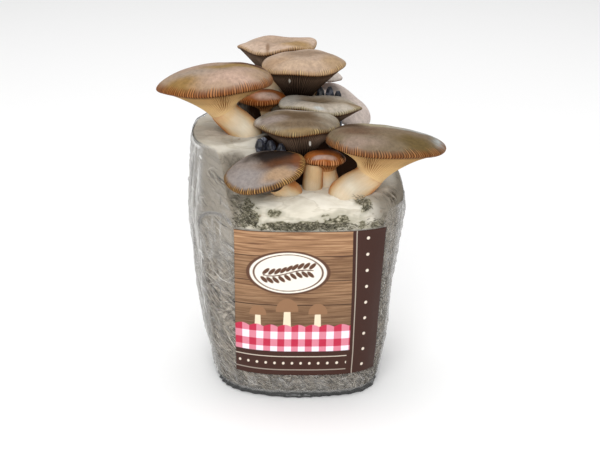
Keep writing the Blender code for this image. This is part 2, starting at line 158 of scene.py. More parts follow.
def bent_grid(name, columns, rows, place):
    """A grid primitive bent over a form. place(u, v) gives its corners' points and attributes."""
    bpy.ops.mesh.primitive_grid_add(x_subdivisions=columns, y_subdivisions=rows, size=1)
    piece = bpy.context.object
    piece.name = piece.data.name = name
    corners = np.empty(len(piece.data.vertices) * 3)
    piece.data.vertices.foreach_get("co", corners)
    u, v = corners.reshape(-1, 3)[:, 0] + 0.5, corners.reshape(-1, 3)[:, 1] + 0.5
    points, attributes = place(u, v)
    piece.data.vertices.foreach_set("co", points.astype(np.float32).ravel())
    for attribute, values in attributes.items():
        kind, key = ("FLOAT", "value") if values.ndim == 1 else ("FLOAT_VECTOR", "vector")
        made = piece.data.attributes.new(attribute, kind, "POINT")
        made.data.foreach_set(key, values.astype(np.float32).ravel())
    face_outwards(merge=True)
    bpy.ops.object.shade_smooth()
    return piece


def linear(hex_colour):
    """An sRGB hex colour as the linear values that a shader takes."""
    channels = (int(hex_colour[i : i + 2], 16) / 255 for i in (1, 3, 5))
    return (*(c / 12.92 if c <= 0.04045 else ((c + 0.055) / 1.055) ** 2.4 for c in channels), 1.0)


def connect(tree, node, links):
    """Fill a node's sockets, by name or number, with values, hex colours, nodes or their outputs."""
    for key, value in links.items():
        named = [s for s in node.inputs if s.enabled and s.name == key]
        socket = named[0] if named else node.inputs[key]
        if isinstance(value, bpy.types.Node):
            tree.links.new(next(s for s in value.outputs if s.enabled), socket)
        elif isinstance(value, bpy.types.NodeSocket):
            tree.links.new(value, socket)
        else:
            socket.default_value = linear(value) if isinstance(value, str) else value


def add(tree, kind, links=None, stops=(), **settings):
    """Add a shader node with its settings, its links and a colour ramp's stops."""
    made = tree.nodes.new("ShaderNode" + kind)
    for name, value in settings.items():
        setattr(made, name, value)
    connect(tree, made, links or {})
    if stops:
        ramp = made.color_ramp.elements
        while len(ramp) < len(stops):
            ramp.new(0.5)
        for element, (place, colour) in zip(ramp, stops):
            element.position, element.color = place, linear(colour)
    return made


def new_material(name):
    """(material, its node tree, its shader)"""
    material = bpy.data.materials.new(name)
    material.use_nodes = True
    return material, material.node_tree, material.node_tree.nodes["Principled BSDF"]


def set_in_kit(piece, material, slot, *nodes):
    """Give a finished piece its material, hang it on the root body, and hide the parts of model.glb that it
    stands for. `slot` is not used.
    """
    piece.data.materials.append(material)
    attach(piece, "root")
    if nodes:
        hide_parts(*nodes)


def wrapped(angle):
    """The same angle between -pi and pi."""
    return (angle + math.pi) % (2 * math.pi) - math.pi


# Places on the bare front of the crust where the straw shows: x, height, half width and half height in mm.
BARE_PATCHES = ((-56, 198, 4, 5), (-50, 190, 9, 8), (-44, 182, 12, 8), (-52, 176, 7, 5), (-20, 188, 8, 3),
                (10, 175, 44, 6), (39, 180, 14, 7), (57, 199, 5, 5), (63, 192, 4, 5), (74, 174, 8, 4))
# Round knobs raised on the crust between the stems where there is only deep shade, dark with the painted
# shade there: x, y, half width, height in mm.
KNOBS_IN_PAINTED_SHADE = ((-48, 44, 14, 18), (-22, 34, 10, 6), (-39, 63, 12, 24))
# Painted shade on the ground between the stems, dark brown where deep shade falls among them: x, y, half
# width, half depth in mm.
PAINTED_SHADE_GROUND = ((18, -6, 46, 38), (-4, 50, 60, 32), (50, 20, 20, 30), (-12, -34, 22, 15))
# Where the wall, the rounded edge and the top begin on the block's grid, from 0 below to 1 on top.
V_WALL, V_EDGE, V_TOP = 0.05, 0.68, 0.76


def place_block(u, v):
    angle = wrapped(math.pi / 2 + 2 * math.pi * u)
    rounding, foot = edge_of(angle)
    bulge = CRUST_BULGE * smooth(inside_label(angle, LABEL_TOP) / math.radians(20) - 0.25)
    on_wall = (v - V_WALL) / (V_EDGE - V_WALL)
    inwards = np.clip((1 - v) / (1 - V_TOP), 0, 1)
    z = BLOCK_FLOOR + (foot - BLOCK_FLOOR) * np.clip(on_wall, 0, 1)
    swell = bulge * smooth(1.6 * (z - FILM_FRONT_TOP - MM) / (foot - FILM_FRONT_TOP - MM))
    curl = np.clip((v - V_EDGE) / (V_TOP - V_EDGE), 0, 1) * math.pi / 2
    reach = wall_radius(angle, z) + swell * np.cos(curl) - rounding * (1 - np.cos(curl))
    reach = reach * inwards * np.clip(v / V_WALL, 0, 1)
    points = polar(angle, reach, z + rounding * np.sin(curl))
    on_top = v > V_TOP
    top = top_height(points[:, 0], points[:, 1])
    edge = top_height(*(points[:, :2] / np.maximum(inwards, 1e-9)[:, None]).T)
    points[:, 2] = np.where(on_top, top + (foot + rounding - edge) * inwards**4, points[:, 2])
    for knob_x, knob_y, half_width, tall in KNOBS_IN_PAINTED_SHADE:
        far = np.hypot(points[:, 0] / MM - knob_x, points[:, 1] / MM - knob_y) / half_width
        points[:, 2] += on_top * tall * MM * np.clip(1 - far**2, 0, 1) ** 0.6

    x, y, z = points.T
    open_front = smooth(inside_label(angle, LABEL_TOP) / 0.12) * smooth((z - LABEL_TOP + 2 * MM) / (3 * MM))
    crust = np.maximum(smooth((z - (foot + rounding - 4 * MM)) / (5 * MM)), open_front)
    # the mycelium is grey under the film at the front left, and greyer up on the plateau and at the right
    below_edge = smooth((PLATEAU - 3 * MM - z) / (5 * MM))
    under_film = smooth((LABEL_LEFT - x) / (6 * MM)) * smooth((-y / MM - 30) / 20) * below_edge
    crust *= 1 - under_film
    ragged = lumps(points, 7 * MM) + 0.5 * lumps(points, 3 * MM)
    at_right = smooth((x / MM + 0.3 * (z / MM - 190) - 52 + 6 * ragged) / 20)
    greyed = np.maximum(0.5 * smooth((z / MM - 208) / 20), 0.8 * at_right)
    bare, mossy = np.zeros_like(x), np.zeros_like(x)
    for place_x, place_z, half_width, half_height in BARE_PATCHES:
        far = np.hypot((x / MM - place_x) / half_width, (z / MM - place_z) / half_height)
        bare = np.maximum(bare, smooth((1.25 - far + 0.8 * ragged) / 0.5))
        mossy = np.maximum(mossy, smooth((1.9 - far + 0.6 * ragged) / 1.1))
    bare *= open_front * (y < -60 * MM)
    mossy *= open_front * (y < -60 * MM)
    # painted shade: the crust between the stems is darkened where deep shade falls
    painted_shade_far = np.min([np.hypot((x / MM - stain_x) / half_width, (y / MM - stain_y) / half_depth)
                        for stain_x, stain_y, half_width, half_depth in PAINTED_SHADE_GROUND], axis=0)
    stain_and_painted_light = smooth((1.2 - painted_shade_far + 0.2 * ragged) / 0.35) * on_top
    crumbs = lumps(points, 9 * MM) * 1.3 + lumps(points, 4 * MM) * 0.7 + ragged * bare * 1.2 - bare * 1.2
    outward = np.stack([np.cos(angle), np.sin(angle), 0.9 * smooth((v - 0.66) / 0.1)], axis=-1)
    outward[on_top] = (0, 0, 1)
    inner = np.clip((1 - v) / 0.02, 0, 1)
    points += outward * (crumbs * crust * inner * 0.8 * MM)[:, None]
    return points, {"crust": crust, "bare": bare, "mossy": mossy, "greyed": greyed, "stain_and_painted_light": stain_and_painted_light}


block = bent_grid("substrate_surface", 320, 240, place_block)

# Straw bound by mycelium, pressed: dull fibres in greys and beiges, cracked, and whiter where the mycelium is
# thick, with a soft cream crust at the top that is painted dark brown with shade between the stems. No gloss
# at all, and a fine uneven surface.
straw_block, tree, shader = new_material("straw_and_mycelium")
TIMES = {"data_type": "RGBA", "blend_type": "MULTIPLY"}  # a mix in which B darkens or lightens A


def drawn_out(tree, vector, turn, tilt, sizes):
    """Places for a pattern with features of those sizes in mm, turned about Z, then tilted about Y."""
    turned = add(tree, "Mapping", {"Vector": vector, "Rotation": (0, 0, turn)})
    tilted = add(tree, "Mapping", {"Vector": turned, "Rotation": (0, tilt, 0)})
    return add(tree, "Mapping", {"Vector": tilted, "Scale": [1 / (size * MM) for size in sizes]})


here = add(tree, "TexCoord").outputs["Object"]
crust, bare, mossy, greyed, stain_and_painted_light = (add(tree, "Attribute", attribute_name=kind).outputs["Fac"]
                                     for kind in ("crust", "bare", "mossy", "greyed", "stain_and_painted_light"))
height = add(tree, "SeparateXYZ", {"Vector": here}).outputs["Z"]
downhill = drawn_out(tree, here, 0.52, -0.64, (14.3, 3.03, 3.03))
fibres = add(tree, "TexNoise", {"Vector": downhill, "Scale": 1.0, "Detail": 6.0, "Roughness": 0.65})
uphill = drawn_out(tree, here, 0.3, 0.5, (12.5, 3.85, 3.85))
cross_fibres = add(tree, "TexNoise", {"Vector": uphill, "Scale": 1.0, "Detail": 5.0, "Roughness": 0.65})
blotches = add(tree, "TexNoise", {"Vector": here, "Scale": 1 / (25 * MM), "Detail": 4.0})
other_way = add(tree, "MapRange", {"Value": blotches, "From Min": 0.48, "From Max": 0.62})
tangle = add(tree, "Mix", {"Factor": other_way, "A": fibres, "B": cross_fibres})
straw = add(tree, "ValToRGB", {"Fac": tangle}, stops=[
    (0.36, "#332d26"), (0.45, "#6b6256"), (0.52, "#8d8477"), (0.6, "#a69d90"), (0.7, "#c2baac")])
crack_place = drawn_out(tree, here, 0.45, -0.5, (38.5, 10.5, 10.5))
crack_noise = add(tree, "TexNoise", {"Vector": crack_place, "Scale": 1.0, "Detail": 5.0, "Roughness": 0.55,
                                     "Distortion": 0.8})
from_crack = add(tree, "Math", {0: crack_noise, 1: 0.5}, operation="SUBTRACT")
off_crack = add(tree, "Math", {0: from_crack}, operation="ABSOLUTE")
crack = add(tree, "MapRange", {"Value": off_crack, "From Min": 0.022, "From Max": 0.004, "To Max": 0.8})
cracked = add(tree, "Mix", {"Factor": crack, "A": straw, "B": "#2a251e"}, data_type="RGBA")
veil_height = add(tree, "MapRange", {"Value": height, "From Min": 0.11, "From Max": 0.17, "To Max": 0.92})
veil_share = add(tree, "MapRange", {"Value": blotches, "From Min": 0.28, "From Max": 0.45})
veil = add(tree, "Math", {0: veil_height, 1: veil_share}, operation="MULTIPLY")
veiled = add(tree, "Mix", {"Factor": veil, "A": cracked, "B": "#938b7e"}, data_type="RGBA")
foot_shade = add(tree, "MapRange", {"Value": height, "From Min": 0.0, "From Max": 0.03,
                                    "To Min": 0.35, "To Max": 0.92})
whole = add(tree, "Mix", {"Factor": 1.0, "A": veiled, "B": foot_shade}, **TIMES)
# the crust: soft level folds with thin darker lines between them, and a few brown specks
level = drawn_out(tree, here, 0, 0, (71.4, 71.4, 11.8))
folds = add(tree, "TexNoise", {"Vector": level, "Scale": 1.0, "Detail": 4.0, "Roughness": 0.5,
                               "Distortion": 0.5})
cream = add(tree, "ValToRGB", {"Fac": folds}, stops=[
    (0.3, "#bdb4a1"), (0.42, "#d6cfbf"), (0.53, "#dfd9cb"), (0.7, "#cbc3b1")])
from_fold = add(tree, "Math", {0: folds, 1: 0.47}, operation="SUBTRACT")
off_fold = add(tree, "Math", {0: from_fold}, operation="ABSOLUTE")
fold_line = add(tree, "MapRange", {"Value": off_fold, "From Min": 0.02, "From Max": 0.003, "To Max": 0.3})
from_speck = add(tree, "TexVoronoi", {"Vector": here, "Scale": 1 / (16.1 * MM)}).outputs["Distance"]
speck = add(tree, "MapRange", {"Value": from_speck, "From Min": 0.13, "From Max": 0.07, "To Max": 0.8})
for share, colour in ((greyed, "#b2aca1"), (fold_line, "#a3977f"), (speck, "#8a6a52")):
    cream = add(tree, "Mix", {"Factor": share, "A": cream, "B": colour}, data_type="RGBA")
thin = add(tree, "MapRange", {"Value": mossy, "To Max": 0.7})
crumb_noise = add(tree, "TexNoise", {"Vector": here, "Scale": 1 / (3.33 * MM), "Detail": 5.0,
                                     "Roughness": 0.75})
dark_straw = add(tree, "ValToRGB", {"Fac": crumb_noise}, stops=[
    (0.36, "#34322a"), (0.46, "#65614f"), (0.54, "#8f8a76"), (0.64, "#c4bdaa")])
crumbled = add(tree, "Math", {0: crumb_noise, 1: 0.9, 2: bare}, operation="MULTIPLY_ADD")
bared = add(tree, "MapRange", {"Value": crumbled, "From Min": 0.88, "From Max": 1.08})
# the last layer is painted shade, dark brown on the crust between the stems
for share, colour in ((crust, cream), (thin, "#9a9683"), (bared, dark_straw), (stain_and_painted_light, "#2a1b13")):
    whole = add(tree, "Mix", {"Factor": share, "A": whole, "B": colour}, data_type="RGBA")
smooth_height = add(tree, "Math", {0: folds, 1: 2.5}, operation="MULTIPLY")
wall_height = add(tree, "Math", {0: tangle, 1: crack}, operation="SUBTRACT")
relief = add(tree, "Mix", {"Factor": crust, "A": wall_height, "B": smooth_height})
rough_height = add(tree, "Math", {0: crumb_noise, 1: 0.5, 2: relief}, operation="MULTIPLY_ADD")
bump = add(tree, "Bump", {"Height": rough_height, "Strength": 0.7, "Distance": 0.0012})
connect(tree, shader, {"Base Color": whole, "Normal": bump, "Roughness": 0.92, "Specular IOR Level": 0.0})
set_in_kit(block, straw_block, "substrate", "substrate_block")

# ---- Straw on the block ----------------------------------------------------------------------------------
# Chopped straw, up to 19 mm long, that lies flat in the wall under the film and stands out of the crust where
# the mycelium hasn't covered it. Each stalk is a three-sided sliver, sunk a little into the block.

STALK_STEPS = 5
bpy.ops.mesh.primitive_cone_add(vertices=3, radius1=1, radius2=1, depth=2, end_fill_type="TRIFAN")
stalk = bpy.context.object
bpy.ops.object.mode_set(mode="EDIT")
bpy.ops.mesh.select_all(action="SELECT")
for step in range(1, STALK_STEPS):
    bpy.ops.mesh.bisect(plane_co=(0, 0, -1 + 2 * step / STALK_STEPS), plane_no=(0, 0, 1))
    bpy.ops.mesh.select_all(action="SELECT")
bpy.ops.mesh.quads_convert_to_tris()
bpy.ops.object.mode_set(mode="OBJECT")
STALK_POINTS = np.array([v.co for v in stalk.data.vertices])
STALK_FACES = np.array([f.vertices for f in stalk.data.polygons])
bpy.data.objects.remove(stalk, do_unlink=True)


def strew(name, angles, heights, slopes, lengths, widths, rises, sink, seed, proud=0.0):
    """Stalks on the block's wall as one mesh. Their backs stand out by `rises`, their tips by `proud`."""
    count, along = len(angles), STALK_POINTS[:, 2]
    chance = np.random.default_rng(seed)
    bend = chance.normal(0, 0.12, count)[:, None] * lengths[:, None] * (along**2)[None, :]
    ends = 1 - 0.5 * np.abs(along) ** 4
    run = along[None, :] * lengths[:, None] / 2
    cross = STALK_POINTS[:, 0][None, :] * widths[:, None] / 2 * ends + bend
    sideways = run * np.cos(slopes)[:, None] - cross * np.sin(slopes)[:, None]
    z = heights[:, None] + run * np.sin(slopes)[:, None] + cross * np.cos(slopes)[:, None]
    back = np.where(STALK_POINTS[:, 1] > 0.5, 1.0, 0.0)[None, :] * rises[:, None] * ends
    middle_radius = wall_radius(angles, heights)[:, None]
    angle = wrapped(angles[:, None] + sideways / middle_radius)
    z = np.clip(z, 3 * MM, None)
    tilt = proud * (chance.uniform(-0.2, 1, count)[:, None] * along[None, :])
    radius = wall_radius(angle.ravel(), z.ravel()).reshape(z.shape) + back - sink + tilt
    points = polar(angle, radius, z).reshape(-1, 3)
    faces = (STALK_FACES[None] + (np.arange(count) * len(STALK_POINTS))[:, None, None]).reshape(-1, 3)
    bpy.ops.mesh.primitive_plane_add(size=1)
    piece = bpy.context.object
    piece.name = name
    piece.data = bpy.data.meshes.new(name)
    piece.data.from_pydata(points.tolist(), [], faces.tolist())
    tone = piece.data.attributes.new("tone", "FLOAT", "POINT")
    shade = np.repeat(chance.uniform(0, 1, count), len(STALK_POINTS))
    tone.data.foreach_set("value", shade.astype(np.float32))
    face_outwards(merge=False)
    return piece


# Dry straw: dull, pale beige to grey brown from stalk to stalk, some nearly black with damp.
dry_straw, tree, shader = new_material("dry_straw")
tone = add(tree, "Attribute", attribute_name="tone").outputs["Fac"]
here = add(tree, "TexCoord").outputs["Object"]
stalk_colour = add(tree, "ValToRGB", {"Fac": tone}, stops=[
    (0.0, "#2a2720"), (0.2, "#544e44"), (0.5, "#79736a"), (0.8, "#9f998e"), (1.0, "#cac5bb")])
specks = add(tree, "TexNoise", {"Vector": here, "Scale": 1 / (2 * MM), "Detail": 2.0})
speck = add(tree, "MapRange", {"Value": specks, "From Min": 0.35, "From Max": 0.65,
                               "To Min": 0.8, "To Max": 1.1})
specked = add(tree, "Mix", {"Factor": 1.0, "A": stalk_colour, "B": speck}, **TIMES)
connect(tree, shader, {"Base Color": specked, "Roughness": 0.8, "Specular IOR Level": 0.25})

WALL_STALKS = 4700
chance = np.random.default_rng(4)
wall_angles = chance.uniform(-math.pi, math.pi, WALL_STALKS)
at_label = inside_label(wall_angles, LABEL_TOP) > -0.1
straw_height = np.where(at_label, LABEL_TOP, edge_of(wall_angles)[1]) - 22 * MM
wall_straw = strew(
    "straw_in_wall", wall_angles, 8 * MM + chance.uniform(0, 1, WALL_STALKS) ** 1.6 * straw_height,
    chance.normal(-0.5, 0.6, WALL_STALKS), chance.uniform(4, 19, WALL_STALKS) * MM,
    chance.uniform(0.4, 1.7, WALL_STALKS) * MM, chance.uniform(0.35, 0.9, WALL_STALKS) * MM, 0.3 * MM, 5)
set_in_kit(wall_straw, dry_straw, "substrate")

CRUST_LIFT = 0.6 * MM
PATCH_STALKS = 1.6  # stalks for each square millimetre or so of a bare patch
patch_x, patch_z = [], []
for middle_x, middle_z, half_width, half_height in BARE_PATCHES:
    count = int(PATCH_STALKS * half_width * half_height)
    patch_x += list(middle_x + half_width * 0.62 * chance.normal(0, 1, count))
    patch_z += list(middle_z + half_height * 0.55 * chance.normal(0, 1, count))
patch_x, patch_z = np.array(patch_x) * MM, np.array(patch_z) * MM
kept = (patch_z > LABEL_TOP + MM) & (patch_z < LABEL_TOP + 34 * MM)
kept &= (patch_x > LABEL_LEFT - 3 * MM) & (patch_x < LABEL_RIGHT)
patch_x, patch_z = patch_x[kept], patch_z[kept]
crust_angles = np.array([float(front_angle(x, z)) for x, z in zip(patch_x, patch_z)])
stalks = len(crust_angles)
crust_straw = strew(
    "straw_in_crust", crust_angles, patch_z, chance.normal(-0.25, 0.5, stalks),
    chance.uniform(1.2, 4.5, stalks) * MM, chance.uniform(0.25, 0.6, stalks) * MM,
    chance.uniform(0.3, 0.7, stalks) * MM, -CRUST_LIFT, 6, proud=0.3 * MM)
# Bare straw above the label, darkened and greened by damp.
damp_straw, tree, shader = new_material("damp_straw")
tone = add(tree, "Attribute", attribute_name="tone").outputs["Fac"]
damp_colour = add(tree, "ValToRGB", {"Fac": tone}, stops=[
    (0.0, "#35322a"), (0.35, "#5b5748"), (0.65, "#827d69"), (0.85, "#a29b87"), (1.0, "#c2bba9")])
connect(tree, shader, {"Base Color": damp_colour, "Roughness": 0.75})
set_in_kit(crust_straw, damp_straw, "substrate")

# ---- Grow bag --------------------------------------------------------------------------------------------
# Thin clear polypropylene film, shrunk round the block by its own creases and gathered at the bottom. It
# mirrors light along its folds.

FILM_FOLD = 1.8 * MM
LOBE_ACROSS, LOBE_UP, LOBE_HALF_WIDTH, LOBE_HALF_HEIGHT = -73, 165, 17, 16  # mm
FILM_NUBS = ((0, 191), (math.pi, 190))  # where its side seams are knotted: angle, and height in mm
FOOT_SKIRT = 4.5 * MM
V_FOOT = 0.04  # the film's grid closes its underside below this
MEAN_RADIUS = 90 * MM  # of the wall, for lumps that run round it
SHEET_THICKNESS = 0.25 * MM


def fold_lines(points, size):
    """1 on the crests of a net of folds and 0 between them."""
    return np.clip(1 - np.abs(lumps(points, size)) / 0.16, 0, 1) ** 1.5


def film_edge(angle):
    """Height of the film's cut edge."""
    rounding, foot = edge_of(angle)
    past = np.where(rounding < 2 * EDGE_HIGH, 3.2 * MM, 1.5 * MM)
    cut_away = smooth((inside_label(angle, LABEL_TOP) + 0.06) / 0.1)
    return (foot + past) * (1 - cut_away) + (FILM_FRONT_TOP - 3 * MM) * cut_away


def thicken(sheet, thickness):
    """Give a sheet its thickness, half of it on each side."""
    wall = sheet.modifiers.new("thickness", "SOLIDIFY")
    wall.thickness, wall.offset = thickness, 0
    bpy.ops.object.modifier_apply(modifier=wall.name)


def place_film(u, v):
    angle = wrapped(math.pi / 2 + 2 * math.pi * u)
    z = film_edge(angle) * np.clip((v - V_FOOT) / (1 - V_FOOT), 0, 1)
    radius = wall_radius(angle, z)
    circle = np.stack([np.cos(angle), np.sin(angle)], axis=-1) * MEAN_RADIUS
    upper = smooth((z - 140 * MM) / (50 * MM))
    upright = fold_lines(np.column_stack([circle, z / 9]), 9 * MM)
    lean = np.column_stack([circle, z * 0.6 + 14 * MM * np.cos(2 * angle)])
    leaning = fold_lines(lean * (1.0, 1.0, 0.8), 15 * MM)
    fine = fold_lines(np.column_stack([circle, z]) + 7, 7 * MM)
    at_side = smooth((np.abs(np.cos(angle)) - 0.8) / 0.08)
    calm = upper * (1 - at_side)
    upright_share = np.maximum(upper, 0.8 * at_side)
    fold = upright * (0.25 + 0.75 * upright_share) + leaning * (1 - upright_share) * 0.6 + fine * 0.3
    fold = np.clip(fold, 0, 1.2)
    fold *= 1 - 0.8 * calm
    at_label = smooth((inside_label(angle, z) + 0.06) / 0.05) * (z > LABEL_BOTTOM - 4 * MM)
    quiet = (1 - at_label) * smooth(z / (14 * MM)) * smooth((1 - v) / 0.04)
    # a slack lobe of the film beside the label's upper left corner, with a dark fold round it
    from_lobe = np.hypot((radius * np.cos(angle) / MM - LOBE_ACROSS) / LOBE_HALF_WIDTH,
                         (z / MM - LOBE_UP) / LOBE_HALF_HEIGHT) + (np.sin(angle) > 0) * 9
    lobe = np.clip(1 - np.abs(from_lobe - 1) / 0.12, 0, 1) * smooth((z / MM - LOBE_UP + 7) / 8)
    nubs = sum(np.exp(-(((np.abs(angle) - at) / 0.05) ** 2) - ((z - up * MM) / (3 * MM)) ** 2)
               for at, up in FILM_NUBS)
    hugging = 0.5 * MM * np.clip(lumps(polar(angle, MEAN_RADIUS, z), 5 * MM) + 0.2, 0, 1) * (1 - 0.7 * upper)
    out = GAP + 0.5 * MM + (FILM_FOLD * fold + hugging) * quiet + 2.5 * MM * nubs
    out += 1.5 * MM * smooth((1.05 - from_lobe) / 0.4) * (1 - at_label)
    gathers = 0.8 * MM * np.sin(angle * 46 + 3 * np.sin(angle * 5)) * smooth(1 - z / (20 * MM)) * (v > V_FOOT)
    skirt = FOOT_SKIRT * (1 + 0.3 * np.sin(angle * 7)) * smooth(1 - z / (6 * MM)) ** 2 * (v > 0.03)
    out = out + np.maximum(gathers, -0.3 * MM) + skirt
    # the cut edge shows dark, with a painted glint just below it, round the high back and left of the block
    # only
    shown = smooth((0.1 - np.cos(angle)) / 0.3) * smooth((-0.35 - inside_label(angle, LABEL_TOP)) / 0.15)
    return polar(angle, (radius + out) * np.clip(v / V_FOOT, 0, 1), z), {
        "fold": fold * quiet, "side": at_side, "calm": calm, "lobe": lobe * (1 - at_label),
        "rim": smooth((v - 0.992) / 0.003) * shown,
        "glint": smooth((v - 0.975) / 0.004) * (v < 0.991) * shown,
    }


film = bent_grid("clear_film", 340, 134, place_film)
thicken(film, SHEET_THICKNESS)

# Clear film: see-through and glossy, milky along its creases, white along its rim with a painted glint, dark
# at the very edge, and near black at its foot with painted contact shadow.
clear_film, tree, shader = new_material("clear_polypropylene_film")
here = add(tree, "TexCoord").outputs["Object"]
height = add(tree, "SeparateXYZ", {"Vector": here}).outputs["Z"]
fold, side, calm, lobe, rim, glint = (add(tree, "Attribute", attribute_name=kind).outputs["Fac"]
                                      for kind in ("fold", "side", "calm", "lobe", "rim", "glint"))
upright = drawn_out(tree, here, 0, 0, (4.35, 4.35, 62.5))
creases = add(tree, "TexNoise", {"Vector": upright, "Scale": 1.0, "Detail": 4.0, "Roughness": 0.6})
leaning = drawn_out(tree, here, 0.52, -0.64, (45.5, 5.26, 5.26))
wrinkles = add(tree, "TexNoise", {"Vector": leaning, "Scale": 1.0, "Detail": 5.0, "Roughness": 0.65})
crease_line = add(tree, "MapRange", {"Value": creases, "From Min": 0.56, "From Max": 0.68})
wrinkle_line = add(tree, "MapRange", {"Value": wrinkles, "From Min": 0.6, "From Max": 0.7})
high = add(tree, "MapRange", {"Value": height, "From Min": 0.12, "From Max": 0.19})
high_or_side = add(tree, "Math", {0: high, 1: side}, operation="MAXIMUM")
upright_lines = add(tree, "Math", {0: crease_line, 1: high_or_side}, operation="MULTIPLY")
lines = add(tree, "Math", {0: upright_lines, 1: wrinkle_line}, operation="MAXIMUM")
milky = add(tree, "Math", {0: fold, 1: 0.6}, operation="MULTIPLY")
milk = add(tree, "Math", {0: milky, 1: lines}, operation="MAXIMUM")
most = add(tree, "MapRange", {"Value": height, "From Min": 0.1, "From Max": 0.2,
                              "To Min": 0.28, "To Max": 0.6})
whiter = add(tree, "Math", {0: side, 1: 0.4, 2: most}, operation="MULTIPLY_ADD")
calmer = add(tree, "Math", {0: calm, 1: -0.4, 2: whiter}, operation="MULTIPLY_ADD")
spread = add(tree, "Math", {0: milk, 1: calmer}, operation="MULTIPLY")
haze = add(tree, "Math", {0: side, 1: 0.17, 2: 0.05}, operation="MULTIPLY_ADD")
folded_over = add(tree, "Math", {0: lobe, 1: 0.85}, operation="MULTIPLY")
cover = add(tree, "Math", {0: spread, 1: haze}, operation="ADD")
cover = add(tree, "Math", {0: cover, 1: folded_over}, operation="MAXIMUM")
# painted contact shadow: the film is near black low at its foot, where the bag meets the floor
painted_contact_shadow = add(tree, "MapRange", {"Value": height, "From Min": 0.009, "From Max": 0.004, "To Max": 0.95})
edges = add(tree, "Math", {0: rim, 1: glint}, operation="MAXIMUM")
dense = add(tree, "Math", {0: edges, 1: painted_contact_shadow}, operation="MAXIMUM")
alpha = add(tree, "Math", {0: cover, 1: dense}, operation="MAXIMUM")
tint = "#dcdad6"
for share, colour in ((painted_contact_shadow, "#0f1315"), (lobe, "#4d4740"), (rim, "#4a4c40")):
    tint = add(tree, "Mix", {"Factor": share, "A": tint, "B": colour}, data_type="RGBA")
relief = add(tree, "Math", {0: creases, 1: wrinkles}, operation="ADD")
bump = add(tree, "Bump", {"Height": relief, "Strength": 0.6, "Distance": 0.0012})
connect(tree, shader, {"Base Color": tint, "Alpha": alpha, "Normal": bump, "Roughness": 0.2,
                       "Specular IOR Level": 0.4, "Coat Weight": 0.25, "Coat Roughness": 0.12})
set_in_kit(film, clear_film, "film", "grow_bag")

# ---- Label -----------------------------------------------------------------------------------------------
# One sheet of satin coated paper, glued to the bag's front and bent round its right corner. It is printed
# with a plain design of boards, a gingham runner, a plaque with a sprig and three simple mushrooms.

LABEL_HEIGHT = LABEL_TOP - LABEL_BOTTOM
PAPER = 0.2 * MM
PRINT_WIDTH = 152.0  # of the design, in its own units of about a millimetre
STRIP_START, FOOTER_TOP, RUNNER_TOP = 121.0, 25.0, 50.0  # across and up the design
PLAQUE_MIDDLE, PLAQUE_HALF = (56.0, 104.0), (43.0, 21.0)
PRINTED_MUSHROOMS = ((24.0, 0.8), (55.0, 1.1), (88.0, 0.9))  # place across, and size
BOARD, CHECK = 24.0, 7.5  # height of a board and width of a gingham check
WOOD_FIGURE, WOOD_GRAIN = 45.5, 1.82  # length and width of the printed wood's streaks


def oval(s, h, middle, half):
    """Distance inside an oval, in about millimetres. It is negative outside."""
    return (1 - np.hypot((s - middle[0]) / half[0], (h - middle[1]) / half[1])) * min(half)


